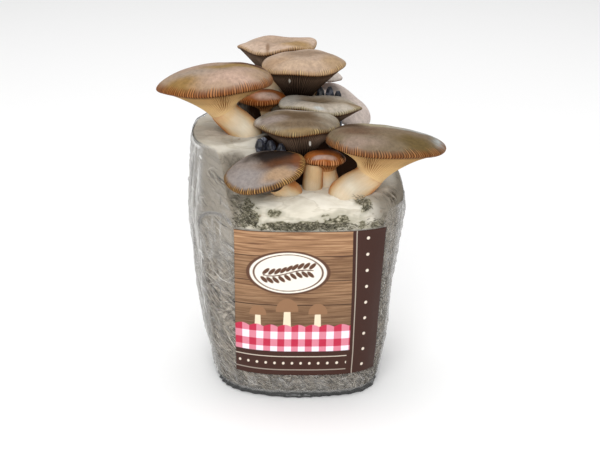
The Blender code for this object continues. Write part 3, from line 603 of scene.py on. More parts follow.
def place_label(u, v):
    z = LABEL_BOTTOM + LABEL_HEIGHT * v
    start = front_angle(LABEL_LEFT, z)
    angle = start + (LABEL_END - start) * u
    out = FILM + 2 * GAP + 0.1 * MM
    loose = smooth((np.abs(u - 0.5) - 0.46) / 0.04) + smooth((np.abs(v - 0.5) - 0.47) / 0.03)
    wave = lumps(polar(angle, MEAN_RADIUS, z), 30 * MM) * 0.35 * MM + loose * 0.25 * MM
    points = polar(angle, wall_radius(angle, z) + out + np.maximum(wave, -0.05 * MM) + 0.15 * MM, z)
    s, h = u * PRINT_WIDTH, v * LABEL_HEIGHT / MM
    scallop = 2.2 * np.abs(np.sin(s * math.pi / 15))
    plaque = oval(s, h, PLAQUE_MIDDLE, PLAQUE_HALF)
    ring = 0.5 - np.abs(plaque - 3.2)
    ring = np.maximum(ring, 0.9 - np.abs(plaque - 0.3))
    stem_line = h - PLAQUE_MIDDLE[1] - 3 * np.sin((s - PLAQUE_MIDDLE[0]) / 12)
    sprig = np.minimum(0.55 - np.abs(stem_line), 27 - np.abs(s - PLAQUE_MIDDLE[0]))
    for k in range(-4, 5):
        for side in (-1, 1):
            s0 = PLAQUE_MIDDLE[0] + 6.2 * k + side
            h0 = PLAQUE_MIDDLE[1] + 3 * math.sin((s0 - PLAQUE_MIDDLE[0]) / 12) + side * 4.2
            turned = ((s - s0) * 0.8 + side * (h - h0) * 0.6, side * (s - s0) * -0.6 + (h - h0) * 0.8)
            leaf = (1 - np.hypot(turned[0] / 4.6, turned[1] / 1.9)) * 1.9
            sprig = np.maximum(sprig, leaf)
    caps, stalks = np.full_like(s, -9.0), np.full_like(s, -9.0)
    for middle, size in PRINTED_MUSHROOMS:
        base = RUNNER_TOP + 1
        disc = oval(s, h, (middle, base + 14 * size), (11 * size, 11 * size))
        caps = np.maximum(caps, np.minimum(disc, h - base - 13 * size))
        half = 3.2 * size + 0.05 * (base + 14 - h)
        stalks = np.maximum(stalks, np.minimum(half - np.abs(s - middle), base + 13 * size - h))
    footer_dots = 1.4 - np.hypot((s % 9.5) - 4.75, h - 12.5)
    rules = np.maximum(0.35 - np.abs(h - 19.5), 0.35 - np.abs(h - 5.5))
    strip_dots = 1.5 - np.hypot(s - STRIP_START - 14, (h % 16) - 8)
    strip_line = 0.35 - np.abs(s - STRIP_START - 3.5)
    light = np.maximum(np.where(s < STRIP_START - 2, np.maximum(footer_dots, rules), -9),
                       np.where(s > STRIP_START + 2, np.maximum(strip_dots, strip_line), -9))
    return points, {
        "print": np.column_stack([s, h, 0 * s]), "strip": s - STRIP_START, "footer": FOOTER_TOP - h,
        "runner": RUNNER_TOP + scallop - h, "plaque": plaque, "ink": np.maximum(ring, sprig), "caps": caps,
        "stalks": stalks, "light": light,
    }


label = bent_grid("paper_label", 190, 170, place_label)
thicken(label, PAPER)

# Coated paper under a thin satin varnish: flat printed colours, slightly shiny.
coated_paper, tree, shader = new_material("printed_coated_paper")
place = add(tree, "Attribute", attribute_name="print").outputs["Vector"]

across = add(tree, "SeparateXYZ", {"Vector": place})
grain_scale = add(tree, "Mapping", {"Vector": place, "Scale": (1 / WOOD_FIGURE, 1 / WOOD_GRAIN, 1)})
grain = add(tree, "TexNoise", {"Vector": grain_scale, "Scale": 1.0, "Detail": 6.0, "Roughness": 0.6,
                               "Distortion": 0.6})
board_number = add(tree, "Math", {0: across.outputs["Y"], 1: 1 / BOARD}, operation="MULTIPLY")
board_step = add(tree, "Math", {0: board_number}, operation="FLOOR")
board_shade = add(tree, "TexWhiteNoise", {"W": board_step}, noise_dimensions="1D")
board_place = add(tree, "Math", {0: board_number}, operation="FRACT")
from_middle = add(tree, "Math", {0: board_place, 1: 0.5}, operation="SUBTRACT")
to_seam = add(tree, "Math", {0: from_middle}, operation="ABSOLUTE")
seam = add(tree, "MapRange", {"Value": to_seam, "From Min": 0.475, "From Max": 0.49})
wood = add(tree, "ValToRGB", {"Fac": grain}, stops=[
    (0.3, "#6e4b35"), (0.45, "#97704f"), (0.58, "#b48b67"), (0.75, "#c7a27c")])
shade = add(tree, "MapRange", {"Value": board_shade.outputs["Value"], "To Min": 0.8, "To Max": 1.08})
boards = add(tree, "Mix", {"Factor": 1.0, "A": wood, "B": shade}, **TIMES)
boards = add(tree, "Mix", {"Factor": seam, "A": boards, "B": "#4b2f1f"}, data_type="RGBA")
dusk = add(tree, "MapRange", {"Value": across.outputs["Y"], "From Min": 135.0, "From Max": 50.0,
                              "To Min": 1.0, "To Max": 0.42})
boards = add(tree, "Mix", {"Factor": 1.0, "A": boards, "B": dusk}, **TIMES)
stripes = []
for axis in ("X", "Y"):
    turn = add(tree, "Math", {0: across.outputs[axis], 1: math.pi / CHECK}, operation="MULTIPLY")
    wave = add(tree, "Math", {0: turn}, operation="SINE")
    stripes.append(add(tree, "MapRange", {"Value": wave, "From Min": -0.08, "From Max": 0.08}))
both = add(tree, "Math", {0: stripes[0], 1: stripes[1]}, operation="ADD")
gingham = add(tree, "ValToRGB", {"Fac": add(tree, "Math", {0: both, 1: 0.5}, operation="MULTIPLY")},
              stops=[(0.0, "#efe6f2"), (0.5, "#d98496"), (1.0, "#bd2a48")])
INKS = {"plaque": "#f1e9dc", "ink": "#5a3b2a", "stalks": "#ead9bd", "caps": "#8f6a4c", "runner": gingham,
        "footer": "#3d2118", "strip": "#3b1f16", "light": "#e9dccb"}
printed = boards
for field, ink in INKS.items():
    inside = add(tree, "Attribute", attribute_name=field).outputs["Fac"]
    share = add(tree, "MapRange", {"Value": inside, "From Min": -0.3, "From Max": 0.3})
    printed = add(tree, "Mix", {"Factor": share, "A": printed, "B": ink}, data_type="RGBA")
here = add(tree, "TexCoord").outputs["Object"]
waviness = add(tree, "TexNoise", {"Vector": here, "Scale": 1 / (25 * MM), "Detail": 2.0})
bump = add(tree, "Bump", {"Height": waviness, "Strength": 0.2, "Distance": 0.002})
connect(tree, shader, {"Base Color": printed, "Normal": bump, "Roughness": 0.42, "Specular IOR Level": 0.25})
set_in_kit(label, coated_paper, "label_paper", "label")

# ---- Mushrooms: what caps and stems share ----------------------------------------------------------------
# King oyster mushrooms that grew from the crust in two clusters. Each is one firm body: a thick stem that
# opens like a trumpet into gills, and a fleshy cap over them whose thin margin shows the gills as ribs.

LIP = 2.6 * MM
MARGIN_SHARE = 0.95  # how far from crown to rim the gills' outer ends are
FUNNEL = {"large": (0.12, 0.4), "middle": (0.3, 0.2), "small": (0.1, 0.4)}
UP = np.array((0.0, 0.0, 1.0))
# Each mushroom in millimetres and degrees: foot on the block, neck where the gills end, middle of the cap's
# rim, its half length and half width, roll, pitch and yaw, dome, where the crown is, hollow, ripple of the
# rim, the stem's radius at foot and neck, the gills' funnel, and the skin: its colours at crown, half way,
# outside, margin and on the margin's pale ticks, and where the ticks start (higher is shorter).
MUSHROOMS = {
    "front_large": ((40.5, -68), (66, -60, 214), (80.5, -63, 244.5), (54.5, 34), (3, 2, -4), 14, -0.3, 0, 0.8,
                    (15, 13.5), "large", ("#7f6d5b", "#7a6a58", "#746550", "#643512", "#c48d58", 1.21)),
    "front_middle": ((1, -14), (3, -24, 229), (0, -29, 254), (40, 30), (1, 3, 0), 9, 0, 0.5, 1.2,
                     (13, 12), "middle", ("#7c6a56", "#7e6d5a", "#8b7f6e", "#6a4e2a", "#c4ab72", 1.24)),
    "front_wavy": ((17, 26), (21, 28, 234), (23, 27, 256.5), (40, 23), (3.5, 2, 0), 6, -0.1, 2, 2.0,
                   (10, 9), "middle", ("#968870", "#a99c8c", "#b3a99b", "#857549", "#cfc198", 1.24)),
    "front_young": ((30, -43), (28, -46, 216), (25.5, -48, 226), (19.5, 14), (1, 3, 0), 8, 0, 0, 0.4,
                    (9, 8.2), "small", ("#7f4420", "#9c5a2b", "#a4602c", "#8a4517", "#f3bd84", 1.19)),
    "front_tilted": ((-4, -64), (-18, -75, 211), (-29, -84, 225.5), (37.5, 28), (-12, 22, 8), 8, 0, 1, 1.0,
                     (11, 9.5), "middle", ("#6e5a4c", "#867a72", "#8c827c", "#553415", "#d9ad68", 1.17)),
    "rear_large": ((-42.5, -18), (-67, -16, 262), (-76, -8, 286), (54.5, 36), (-3, 1, 7), 17, 0.12, 0, 0.8,
                   (12.5, 13), "large", ("#917c66", "#a88f7e", "#a18870", "#6c3710", "#c98a52", 1.205)),
    "rear_middle": ((2, 64), (2, 66, 252), (6.5, 45, 291.5), (40.5, 32), (-1, 3, 0), 11, 0, 0.5, 1.2,
                    (13, 13), "middle", ("#a58f7b", "#ae9783", "#b39b87", "#a98257", "#e0c48c", 1.24)),
    "rear_wavy": ((-26, 66), (-21, 83, 266), (-20, 98, 298), (39.5, 23), (-2, 3, 0), 6, 0.1, 2, 2.2,
                  (10, 10), "middle", ("#a48d78", "#b39a86", "#bda693", "#96703e", "#d9b98a", 1.24)),
    "rear_young": ((-34, 48), (-33, 47, 247), (-34, 45, 258), (24, 17), (0, 4, 0), 7.5, 0, 0, 0.4,
                   (9, 8), "small", ("#9a5a2e", "#a86535", "#a05a26", "#8a4518", "#f0b06c", 1.18)),
    "rear_tilted": ((31, 71), (34, 82, 233.5), (46.5, 91, 238), (32.5, 29), (46, 23, 0), 8, 0, 1, 1.0,
                    (8.5, 8), "middle", ("#c0b1a8", "#cabcb3", "#cdbeb6", "#b5a392", "#d8cab8", 1.3)),
    "rear_small": ((13, 80), (15.5, 93, 261), (25, 97, 269), (21, 13), (10, 8, 0), 4, 0, 0, 0.8,
                   (5, 5), "small", ("#cdc0b6", "#d3c7be", "#d4c8bf", "#bcab97", "#dccfbd", 1.3)),
}
FIELDS = "foot neck rim size turn dome crown hollow ripple stem funnel skin".split()


def unit(vectors):
    return vectors / np.linalg.norm(vectors, axis=-1, keepdims=True)


def across_frame(direction, side):
    """Two directions across `direction`, the first as near to `side` as can be."""
    first = unit(side - direction * np.dot(side, direction))
    return first, np.cross(direction, first)


def bezier(start, leave, arrive, end, t):
    t = np.asarray(t)[..., None]
    s = 1 - t
    return start * s**3 + leave * (3 * s * s * t) + arrive * (3 * s * t * t) + end * t**3


RIB_SPACING = 2.1 * MM


class Mushroom:
    """The places, directions and ribs that a mushroom's cap and stem share."""

    def __init__(self, row):
        values = dict(zip(FIELDS, row))
        x, y = np.array(values["foot"]) * MM
        self.foot = np.array((x, y, float(top_height(x, y))))
        self.neck, self.middle = np.array(values["neck"]) * MM, np.array(values["rim"]) * MM
        self.half_length, self.half_width = np.array(values["size"]) * MM
        self.dome, self.hollow, self.ripple = (values[k] * MM for k in ("dome", "hollow", "ripple"))
        self.crown, self.skin = values["crown"], values["skin"]
        self.foot_radius, self.neck_radius = np.array(values["stem"]) * MM
        self.kind = values["funnel"]
        self.turn_down, self.meet_stem = FUNNEL[self.kind]
        roll, pitch, yaw = (math.radians(v) for v in values["turn"])
        self.up = unit(np.array((math.sin(roll), -math.sin(pitch), 1.0)))
        self.right, self.back = across_frame(self.up, np.array((math.cos(yaw), math.sin(yaw), 0.0)))
        self.neck_up = unit(unit(self.neck - self.foot) + self.up)
        self.side, self.far = across_frame(self.neck_up, self.right)
        self.start = (values["size"][0] * 7 + values["size"][1] * 3) % 6.28
        girth = 2 * math.pi * math.sqrt((self.half_length**2 + self.half_width**2) / 2)
        self.ribs = 2 * round(girth / RIB_SPACING / 2)

    def cap_point(self, angle, share, height):
        """At `share` of the way from the crown to the rim, `height` above the rim's plane."""
        wave = 1 + self.ripple / MM * 0.012 * np.sin(3 * angle + self.start)
        x = self.half_length * (np.cos(angle) * share * wave + self.crown * (1 - share**2))
        y = self.half_width * np.sin(angle) * share * wave
        rise = height + self.ripple * np.sin(4 * angle + self.start) * share**2
        return self.middle + x[:, None] * self.right + y[:, None] * self.back + rise[:, None] * self.up

    def gill_point(self, angle, share, out):
        """On the trumpet from the margin (share 0) down to the neck (share 1), raised by `out`."""
        start = self.cap_point(angle, np.full_like(angle, MARGIN_SHARE), np.full_like(angle, -LIP))
        ring = np.cos(angle)[:, None] * self.side + np.sin(angle)[:, None] * self.far
        end = self.neck + self.neck_up * GAP + ring * self.neck_radius
        drop = ((start - end) @ self.up)[:, None]
        inward = end - start + self.up * drop
        leave = start + inward * 0.4 - self.up * drop * self.turn_down
        point = bezier(start, leave, end + self.neck_up * drop * self.meet_stem, end, share)
        outward = unit(-unit(inward) * share[:, None] - self.up * (1 - share[:, None]))
        return point + outward * out[:, None]

    def rib_wave(self, angle, every=1):
        """0 on each gill's edge and 1 between two gills. The gills aren't quite evenly spaced."""
        uneven = lumps(np.stack([np.cos(angle), np.sin(angle), 0 * angle], axis=-1), 0.11) * 1.6
        return 0.5 - 0.5 * np.cos(self.ribs / every * angle + uneven / every)


shapes = {name: Mushroom(row) for name, row in MUSHROOMS.items()}

# ---- Stems -----------------------------------------------------------------------------------------------
# Solid white flesh, firm and matt, with fine fibres along it. Age and handling have stained it orange tan at
# the foot and under the gills; under the gills the tan is partly painted shade, and along its left and right
# sides the tan is painted shade.

STEM_FLARE = 1.16  # the foot spreads where it comes out of the crust


def stem_flesh():
    """Firm matt flesh that lets a little light in, tan at its ends and flanks: stained at the foot, stained
    and partly painted shade under the gills, painted shade on the flanks.
    """
    material, tree, shader = new_material("mushroom_flesh")
    here = add(tree, "TexCoord").outputs["Object"]
    along = add(tree, "Attribute", attribute_name="along").outputs["Fac"]
    flank = add(tree, "Attribute", attribute_name="flank").outputs["Fac"]
    clouds = add(tree, "TexNoise", {"Vector": here, "Scale": 1 / (18.2 * MM), "Detail": 3.0})
    near_neck = add(tree, "MapRange", {"Value": along, "From Min": 0.45, "From Max": 1.0, "To Max": 0.5})
    near_foot = add(tree, "MapRange", {"Value": along, "From Min": 0.42, "From Max": 0.25, "To Max": 0.16})
    # painted shade: the flesh is tanned along its left and right sides
    painted_side_shade = add(tree, "Math", {0: flank, 1: 0.75}, operation="MULTIPLY")
    ends = add(tree, "Math", {0: near_neck, 1: near_foot}, operation="MAXIMUM")
    tan_from_stain_and_shade = add(tree, "Math", {0: ends, 1: painted_side_shade}, operation="MAXIMUM")
    cloudy = add(tree, "MapRange", {"Value": clouds, "From Min": 0.3, "From Max": 0.65,
                                    "To Min": 0.5, "To Max": 1.0})
    amount = add(tree, "Math", {0: tan_from_stain_and_shade, 1: cloudy}, operation="MULTIPLY")
    flesh = add(tree, "ValToRGB", {"Fac": amount}, stops=[
        (0.0, "#cec2ac"), (0.3, "#c9ab81"), (0.6, "#bb7b42"), (0.9, "#98521e")])
    fibre_place = add(tree, "Attribute", attribute_name="ray").outputs["Vector"]
    fibre_scale = add(tree, "Mapping", {"Vector": fibre_place, "Scale": (9, 9, 2.5)})
    fibres = add(tree, "TexNoise", {"Vector": fibre_scale, "Scale": 1.0, "Detail": 4.0, "Roughness": 0.6})
    streak = add(tree, "MapRange", {"Value": fibres, "From Min": 0.35, "From Max": 0.7,
                                    "To Min": 0.93, "To Max": 1.03})
    streaked = add(tree, "Mix", {"Factor": 1.0, "A": flesh, "B": streak}, **TIMES)
    bump = add(tree, "Bump", {"Height": fibres, "Strength": 0.35, "Distance": 0.0006})
    connect(tree, shader, {"Base Color": streaked, "Normal": bump, "Roughness": 0.6,
                           "Specular IOR Level": 0.3, "Subsurface Weight": 0.15,
                           "Subsurface Radius": (0.004, 0.0025, 0.0015), "Subsurface Scale": 1.0})
    return material


flesh = stem_flesh()


TUBE_END = 0.04  # share of a tube's grid that closes each end


def tube_along(line, radius, side, stain_and_painted_light=(0.0, 1.0)):
    """place(u, v) for a round tube along line(v), closed at both ends. The last argument is how tan the flesh
    is at foot and top, by stain and by painted shade.
    """
    def place(u, v):
        angle = math.pi / 2 + 2 * math.pi * u
        share = np.clip((v - TUBE_END) / (1 - 2 * TUBE_END), 0, 1)
        middle = line(share)
        ahead = unit(line(np.minimum(share + 0.02, 1.02)) - line(share - 0.02))
        first = unit(side - ahead * (ahead @ side)[:, None])
        second = np.cross(ahead, first)
        closing = np.clip(np.minimum(v, 1 - v) / TUBE_END, 0, 1) ** 0.7
        reach = radius(angle, share) * closing
        ring = first * np.cos(angle)[:, None] + second * np.sin(angle)[:, None]
        points = middle + ring * reach[:, None]
        ray = np.stack([np.cos(angle), np.sin(angle), share * 2], axis=-1)
        along = stain_and_painted_light[0] + (stain_and_painted_light[1] - stain_and_painted_light[0]) * share
        return points, {"along": along, "flank": np.abs(np.cos(angle)) ** 2.6, "ray": ray}
    return place


def make_stem(name, shape):
    sunk = shape.foot - UP * shape.foot_radius * 0.7
    length = np.linalg.norm(shape.neck - sunk)
    # The flesh runs on a little way into the cap, so that no joint shows between the two.
    top = shape.neck + shape.neck_up * MM

    def line(share):
        return bezier(sunk, sunk + UP * length * 0.3, top - shape.neck_up * length * 0.3, top, share)

    def radius(angle, share):
        taper = shape.foot_radius + (shape.neck_radius - shape.foot_radius) * smooth(share)
        swell = np.sin(math.pi * np.minimum(share * 1.25, 1)) * 0.08 * shape.foot_radius
        spread = 1 + (STEM_FLARE - 1) * smooth((0.42 - share) / 0.25)
        ray = np.stack([np.cos(angle), np.sin(angle), share * 2], axis=-1)
        uneven = lumps(ray + shape.start, 0.9) * 0.05 * shape.foot_radius
        tuck = 1 - np.minimum(share * length / (1.3 * shape.foot_radius), 1)
        rough_sides = uneven * smooth((1 - share) / 0.3)
        return (taper * spread + swell + rough_sides) * (0.4 + 0.6 * np.sqrt(1 - tuck**2))

    return bent_grid("flesh_" + name, 2 * shape.ribs, 44, tube_along(line, radius, shape.right))


def grow_together(parts):
    """Join parts that run into each other. The first one's name stays."""
    bpy.ops.object.select_all(action="DESELECT")
    for part in parts:
        part.select_set(True)
    bpy.context.view_layer.objects.active = parts[0]
    bpy.ops.object.join()
    bpy.ops.object.select_all(action="DESELECT")


TWIN_STEM = {"foot": (13.5, -50), "top": (16, -51, 223), "radius": 8.6}  # mm


def make_twin_stem(piece):
    """A second, capless stem that has grown together with the young one."""
    x, y = np.array(TWIN_STEM["foot"]) * MM
    foot = np.array((x, y, float(top_height(x, y))))
    top, thick = np.array(TWIN_STEM["top"]) * MM, TWIN_STEM["radius"] * MM

    def line(share):
        return foot - UP * thick + np.asarray(share)[:, None] * (top - foot + UP * thick)

    def radius(angle, share):
        return thick * np.interp(share, (0, 0.35, 0.7, 0.9, 1), (0.95, 1.1, 1.05, 0.95, 0.8))

    twin = bent_grid("twin", 48, 40, tube_along(line, radius, np.array((1.0, 0, 0)), stain_and_painted_light=(0.5, 0.95)))
    grow_together([piece, twin])


for name, shape in shapes.items():
    stem = make_stem(name, shape)
    if name == "front_young":
        make_twin_stem(stem)
    set_in_kit(stem, flesh, "mushroom_stem", "stem_" + name)

# ---- Caps ------------------------------------------------------------------------------------------------
# A fleshy cushion under a dry, suede-like skin, whose soft sheen is painted on as highlights and reflections.
# Close-set gills run from the margin down to the stem. At the thin rolled margin the gills press through as
# pale ribs with orange brown between them.

CAP_ROWS = 76
GILL_DEPTH = 2.4 * MM
RIB_RELIEF = 0.15 * MM
V_MARGIN, V_RIM = 0.42, 0.52  # where the gills end and where the upper skin begins, along the grid's v

# Where a cap's skin is stained, and where highlights, reflections and shade are painted on it: place across
# and back on the cap, from -1 to 1, half sizes there and colour.
CAP_STAINS_AND_PAINTED_LIGHT = {
    # front_large: the grey patches at its right edge and back right are painted reflections, the pinkish grey
    # at the front left is a painted highlight, and the dark brown at the back left is painted shade
    "front_large": ((0.0, 0.35, 0.5, 0.14, "#a0957a"), (-0.35, -0.22, 0.5, 0.22, "#644d3a"),
                    (-0.5, -0.72, 0.34, 0.2, "#8d7a6c"), (0.15, -0.25, 0.35, 0.3, "#776650"),
                    (0.55, -0.5, 0.38, 0.32, "#64522f"), (0.92, 0.0, 0.16, 0.34, "#a4a7a4"),
                    (0.52, 0.3, 0.42, 0.12, "#a6a8a5"), (-0.7, 0.2, 0.3, 0.2, "#46311f")),
    # front_middle: the pale patches at its left end and along its back edge are painted highlights
    "front_middle": ((0.15, -0.1, 0.6, 0.35, "#5f4d39"), (-0.62, -0.35, 0.32, 0.3, "#8d8078"),
                     (-0.93, 0.15, 0.12, 0.5, "#bdb5ac"), (-0.05, 0.62, 0.75, 0.17, "#b3a99d"),
                     (0.15, -0.9, 0.75, 0.12, "#86704f"), (0.05, -0.66, 0.7, 0.18, "#6a5843"),
                     (0.7, 0.15, 0.3, 0.3, "#9a9182")),
    # front_wavy: the pale grey patches at its left end and back edge, and the small one at the front, are
    # painted highlights
    "front_wavy": ((-0.7, -0.1, 0.28, 0.45, "#bbb4a9"), (-0.1, 0.0, 0.45, 0.35, "#816e57"),
                   (-0.05, -0.85, 0.12, 0.08, "#b9bab6"), (0.65, -0.1, 0.35, 0.3, "#a1917a"),
                   (-0.95, 0.0, 0.1, 0.5, "#bcb5a8"), (-0.1, 0.7, 0.85, 0.2, "#b2a697"),
                   (0.85, -0.25, 0.22, 0.35, "#8b7557")),
    # front_young: the two pale patches at the front are painted highlights
    "front_young": ((0.0, 0.55, 1.0, 0.45, "#3a1a0c"), (0.95, 0.0, 0.22, 0.7, "#3a1b0c"),
                    (-0.3, -0.72, 0.36, 0.13, "#a98f84"), (0.2, -0.7, 0.3, 0.12, "#b2917f")),
    "front_tilted": ((0.6, 0.05, 0.5, 0.4, "#533017"), (0.4, 0.55, 0.8, 0.36, "#160c07"),
                     (0.35, -0.6, 0.45, 0.26, "#a08468"), (-0.45, -0.35, 0.4, 0.45, "#8c8480"),
                     (0.95, -0.2, 0.2, 0.5, "#6b3a18")),
    # rear_large: the pinkish patch at the front right is a painted highlight, and the dark browns at the back
    # right are painted shade
    "rear_large": ((0.3, -0.05, 0.6, 0.16, "#8f7446"), (-0.45, -0.3, 0.4, 0.3, "#9c8b7b"),
                   (-0.68, -0.62, 0.42, 0.32, "#8f7042"), (0.38, -0.7, 0.55, 0.24, "#b69a88"),
                   (0.5, 0.2, 0.28, 0.12, "#5c3415"), (0.76, 0.1, 0.18, 0.13, "#4a2810")),
    "rear_middle": ((-0.7, -0.4, 0.35, 0.35, "#a88c71"), (0.0, -0.7, 0.8, 0.2, "#b59c84"),
                    (0.75, -0.4, 0.3, 0.35, "#a98e6f"), (0.1, 0.1, 0.5, 0.3, "#937c67")),
    # rear_wavy: the thin darker line is painted shade in a crease of the cap
    "rear_wavy": ((-0.22, -0.65, 0.05, 0.4, "#8a705a"), (0.6, -0.5, 0.35, 0.35, "#a08259")),
    # rear_young: the near black at its left end is painted shade, and the pale patch at the front is a
    # painted highlight
    "rear_young": ((-0.85, 0.1, 0.3, 0.6, "#1d0e07"), (0.2, -0.5, 0.5, 0.28, "#d2b19e"),
                   (0.1, 0.5, 0.8, 0.35, "#6b3a1a")),
    "rear_tilted": ((-0.3, 0.2, 0.4, 0.4, "#b0a39a"),),
    "rear_small": ((0.0, 0.0, 0.5, 0.5, "#cbbeb4"),),
}
# White marks painted on the gills: x, y and z in mm, and half their size.
GILL_WHITE_MARKS = {"front_middle": (12, -45, 240), "rear_middle": (-7, 22, 279)}
WHITE_MARK_HALF = np.array((1.1, 20, 3.2))
# Colours of the gills' edges and sides at the neck, part of the way, near the margin and at it: golden under
# the large caps, orange brown under the small ones, and under the middle ones grey brown, black at the neck:
# painted shade, for those gills lie deep in shade among crowded caps.
GILL_COLOURS = {
    "large": (("#d2b58a", "#d3b17c", "#c79d68", "#5a3519"), ("#cda974", "#83522a", "#40210e", "#1f0f06")),
    "middle": (("#1d130d", "#33251b", "#7d6756", "#4a3526"), ("#0f0906", "#1d130d", "#2c1e15", "#150c07")),
    "small": (("#a4764d", "#a57445", "#9b673a", "#46230e"), ("#a06f41", "#663617", "#321608", "#180a03")),
}


def cap_skin(name, gill_colours, crown, half_way, outside, margin, tick, tick_start):
    """Dry suede-like skin, stained and finely streaked, with painted highlights, reflections and shade, ticks
    at its margin, and duller gills.
    """
    material, tree, shader = new_material("cap_skin_" + name)
    here = add(tree, "TexCoord").outputs["Object"]
    ray, disc = (add(tree, "Attribute", attribute_name=kind).outputs["Vector"] for kind in ("ray", "disc"))
    share, rib, lip, gills, deep = (add(tree, "Attribute", attribute_name=kind).outputs["Fac"]
                                    for kind in ("share", "rib", "lip", "gills", "deep"))
    clouds = add(tree, "TexNoise", {"Vector": here, "Scale": 1 / (22.2 * MM), "Detail": 4.0,
                                    "Roughness": 0.55})
    drift = add(tree, "MapRange", {"Value": clouds, "From Min": 0.3, "From Max": 0.7,
                                   "To Min": -0.2, "To Max": 0.2})
    ring = add(tree, "Math", {0: share, 1: drift}, operation="ADD")
    skin = add(tree, "ValToRGB", {"Fac": ring}, stops=[(0.1, crown), (0.5, half_way), (0.9, outside)])
    # the patches are stains, painted highlights, painted reflections and painted shade, as told above the
    # table
    for x, y, half_x, half_y, stain_and_painted_light in CAP_STAINS_AND_PAINTED_LIGHT[name]:
        around = add(tree, "Mapping", {"Vector": disc, "Location": (-x / half_x, -y / half_y, 0),
                                       "Scale": (1 / half_x, 1 / half_y, 1)})
        far = add(tree, "VectorMath", {0: around}, operation="LENGTH").outputs["Value"]
        ragged = add(tree, "Math", {0: drift, 1: 1.6, 2: far}, operation="MULTIPLY_ADD")
        reach = add(tree, "MapRange", {"Value": ragged, "From Min": 1.55, "From Max": 0.35},
                    interpolation_type="SMOOTHSTEP")
        skin = add(tree, "Mix", {"Factor": reach, "A": skin, "B": stain_and_painted_light}, data_type="RGBA")
    # fine streaks from the crown outwards, and a darker band at the margin
    ray_scale = add(tree, "Mapping", {"Vector": ray, "Scale": (11, 11, 3.0)})
    streaks = add(tree, "TexNoise", {"Vector": ray_scale, "Scale": 1.0, "Detail": 6.0, "Roughness": 0.65})
    streak = add(tree, "MapRange", {"Value": streaks, "From Min": 0.3, "From Max": 0.7,
                                    "To Min": 0.86, "To Max": 1.04})
    skin = add(tree, "Mix", {"Factor": 1.0, "A": skin, "B": streak}, **TIMES)
    pores = add(tree, "TexNoise", {"Vector": here, "Scale": 1 / (3.85 * MM), "Detail": 4.0, "Roughness": 0.7})
    pore = add(tree, "MapRange", {"Value": pores, "From Min": 0.35, "From Max": 0.6,
                                  "To Min": 0.8, "To Max": 1.06})
    skin = add(tree, "Mix", {"Factor": 1.0, "A": skin, "B": pore}, **TIMES)
    band_edge = add(tree, "Math", {0: streaks, 1: 0.14, 2: share}, operation="MULTIPLY_ADD")
    band = add(tree, "MapRange", {"Value": band_edge, "From Min": tick_start - 0.22,
                                  "From Max": tick_start - 0.13, "To Max": 0.95})
    # ticks: the gills' edges show through the margin as pale lines of uneven length, with dark lines between
    tick_scale = add(tree, "Mapping", {"Vector": ray, "Scale": (24, 24, 0.0)})
    unevenness = add(tree, "TexNoise", {"Vector": tick_scale, "Scale": 1.0, "Detail": 3.0, "Roughness": 0.7})
    reach_scale = add(tree, "Mapping", {"Vector": ray, "Scale": (3, 3, 0.0)})
    reaches = add(tree, "TexNoise", {"Vector": reach_scale, "Scale": 1.0, "Detail": 1.0})
    glow = add(tree, "MapRange", {"Value": reaches, "From Min": 0.4, "From Max": 0.65, "To Max": 0.12})
    banded = add(tree, "Mix", {"Factor": glow, "A": margin, "B": tick}, data_type="RGBA")
    skin = add(tree, "Mix", {"Factor": band, "A": skin, "B": banded}, data_type="RGBA")
    both = add(tree, "Math", {0: unevenness, 1: reaches}, operation="ADD")
    tick_edge = add(tree, "Math", {0: both, 1: 0.28, 2: share}, operation="MULTIPLY_ADD")
    ticked = add(tree, "MapRange", {"Value": tick_edge, "From Min": tick_start,
                                    "From Max": tick_start + 0.06})
    dark_line = add(tree, "MapRange", {"Value": rib, "From Min": 0.4, "From Max": 0.85})
    dark = add(tree, "Math", {0: dark_line, 1: ticked}, operation="MULTIPLY")
    darkened = add(tree, "MapRange", {"Value": dark, "To Min": 1.0, "To Max": 0.5})
    skin = add(tree, "Mix", {"Factor": 1.0, "A": skin, "B": darkened}, **TIMES)
    pale_line = add(tree, "MapRange", {"Value": rib, "From Min": 0.4, "From Max": 0.05})
    pale = add(tree, "Math", {0: pale_line, 1: ticked}, operation="MULTIPLY")
    fainter = add(tree, "MapRange", {"Value": unevenness, "From Min": 0.4, "From Max": 0.58,
                                     "To Min": 0.08, "To Max": 0.85})
    pale = add(tree, "Math", {0: pale, 1: fainter}, operation="MULTIPLY")
    skin = add(tree, "Mix", {"Factor": pale, "A": skin, "B": tick}, data_type="RGBA")
    lip_colour = add(tree, "ValToRGB", {"Fac": rib}, stops=[
        (0.1, "#96683a"), (0.5, "#4a260f"), (1.0, "#2a1408")])
    skin = add(tree, "Mix", {"Factor": lip, "A": skin, "B": lip_colour}, data_type="RGBA")
    edge_stops, side_stops = (list(zip((0.0, 0.33, 0.8, 1.0), colours)) for colours in gill_colours)
    gill_edge = add(tree, "ValToRGB", {"Fac": deep}, stops=edge_stops)
    gill_side = add(tree, "ValToRGB", {"Fac": deep}, stops=side_stops)
    gilled = add(tree, "Mix", {"Factor": rib, "A": gill_edge, "B": gill_side}, data_type="RGBA")
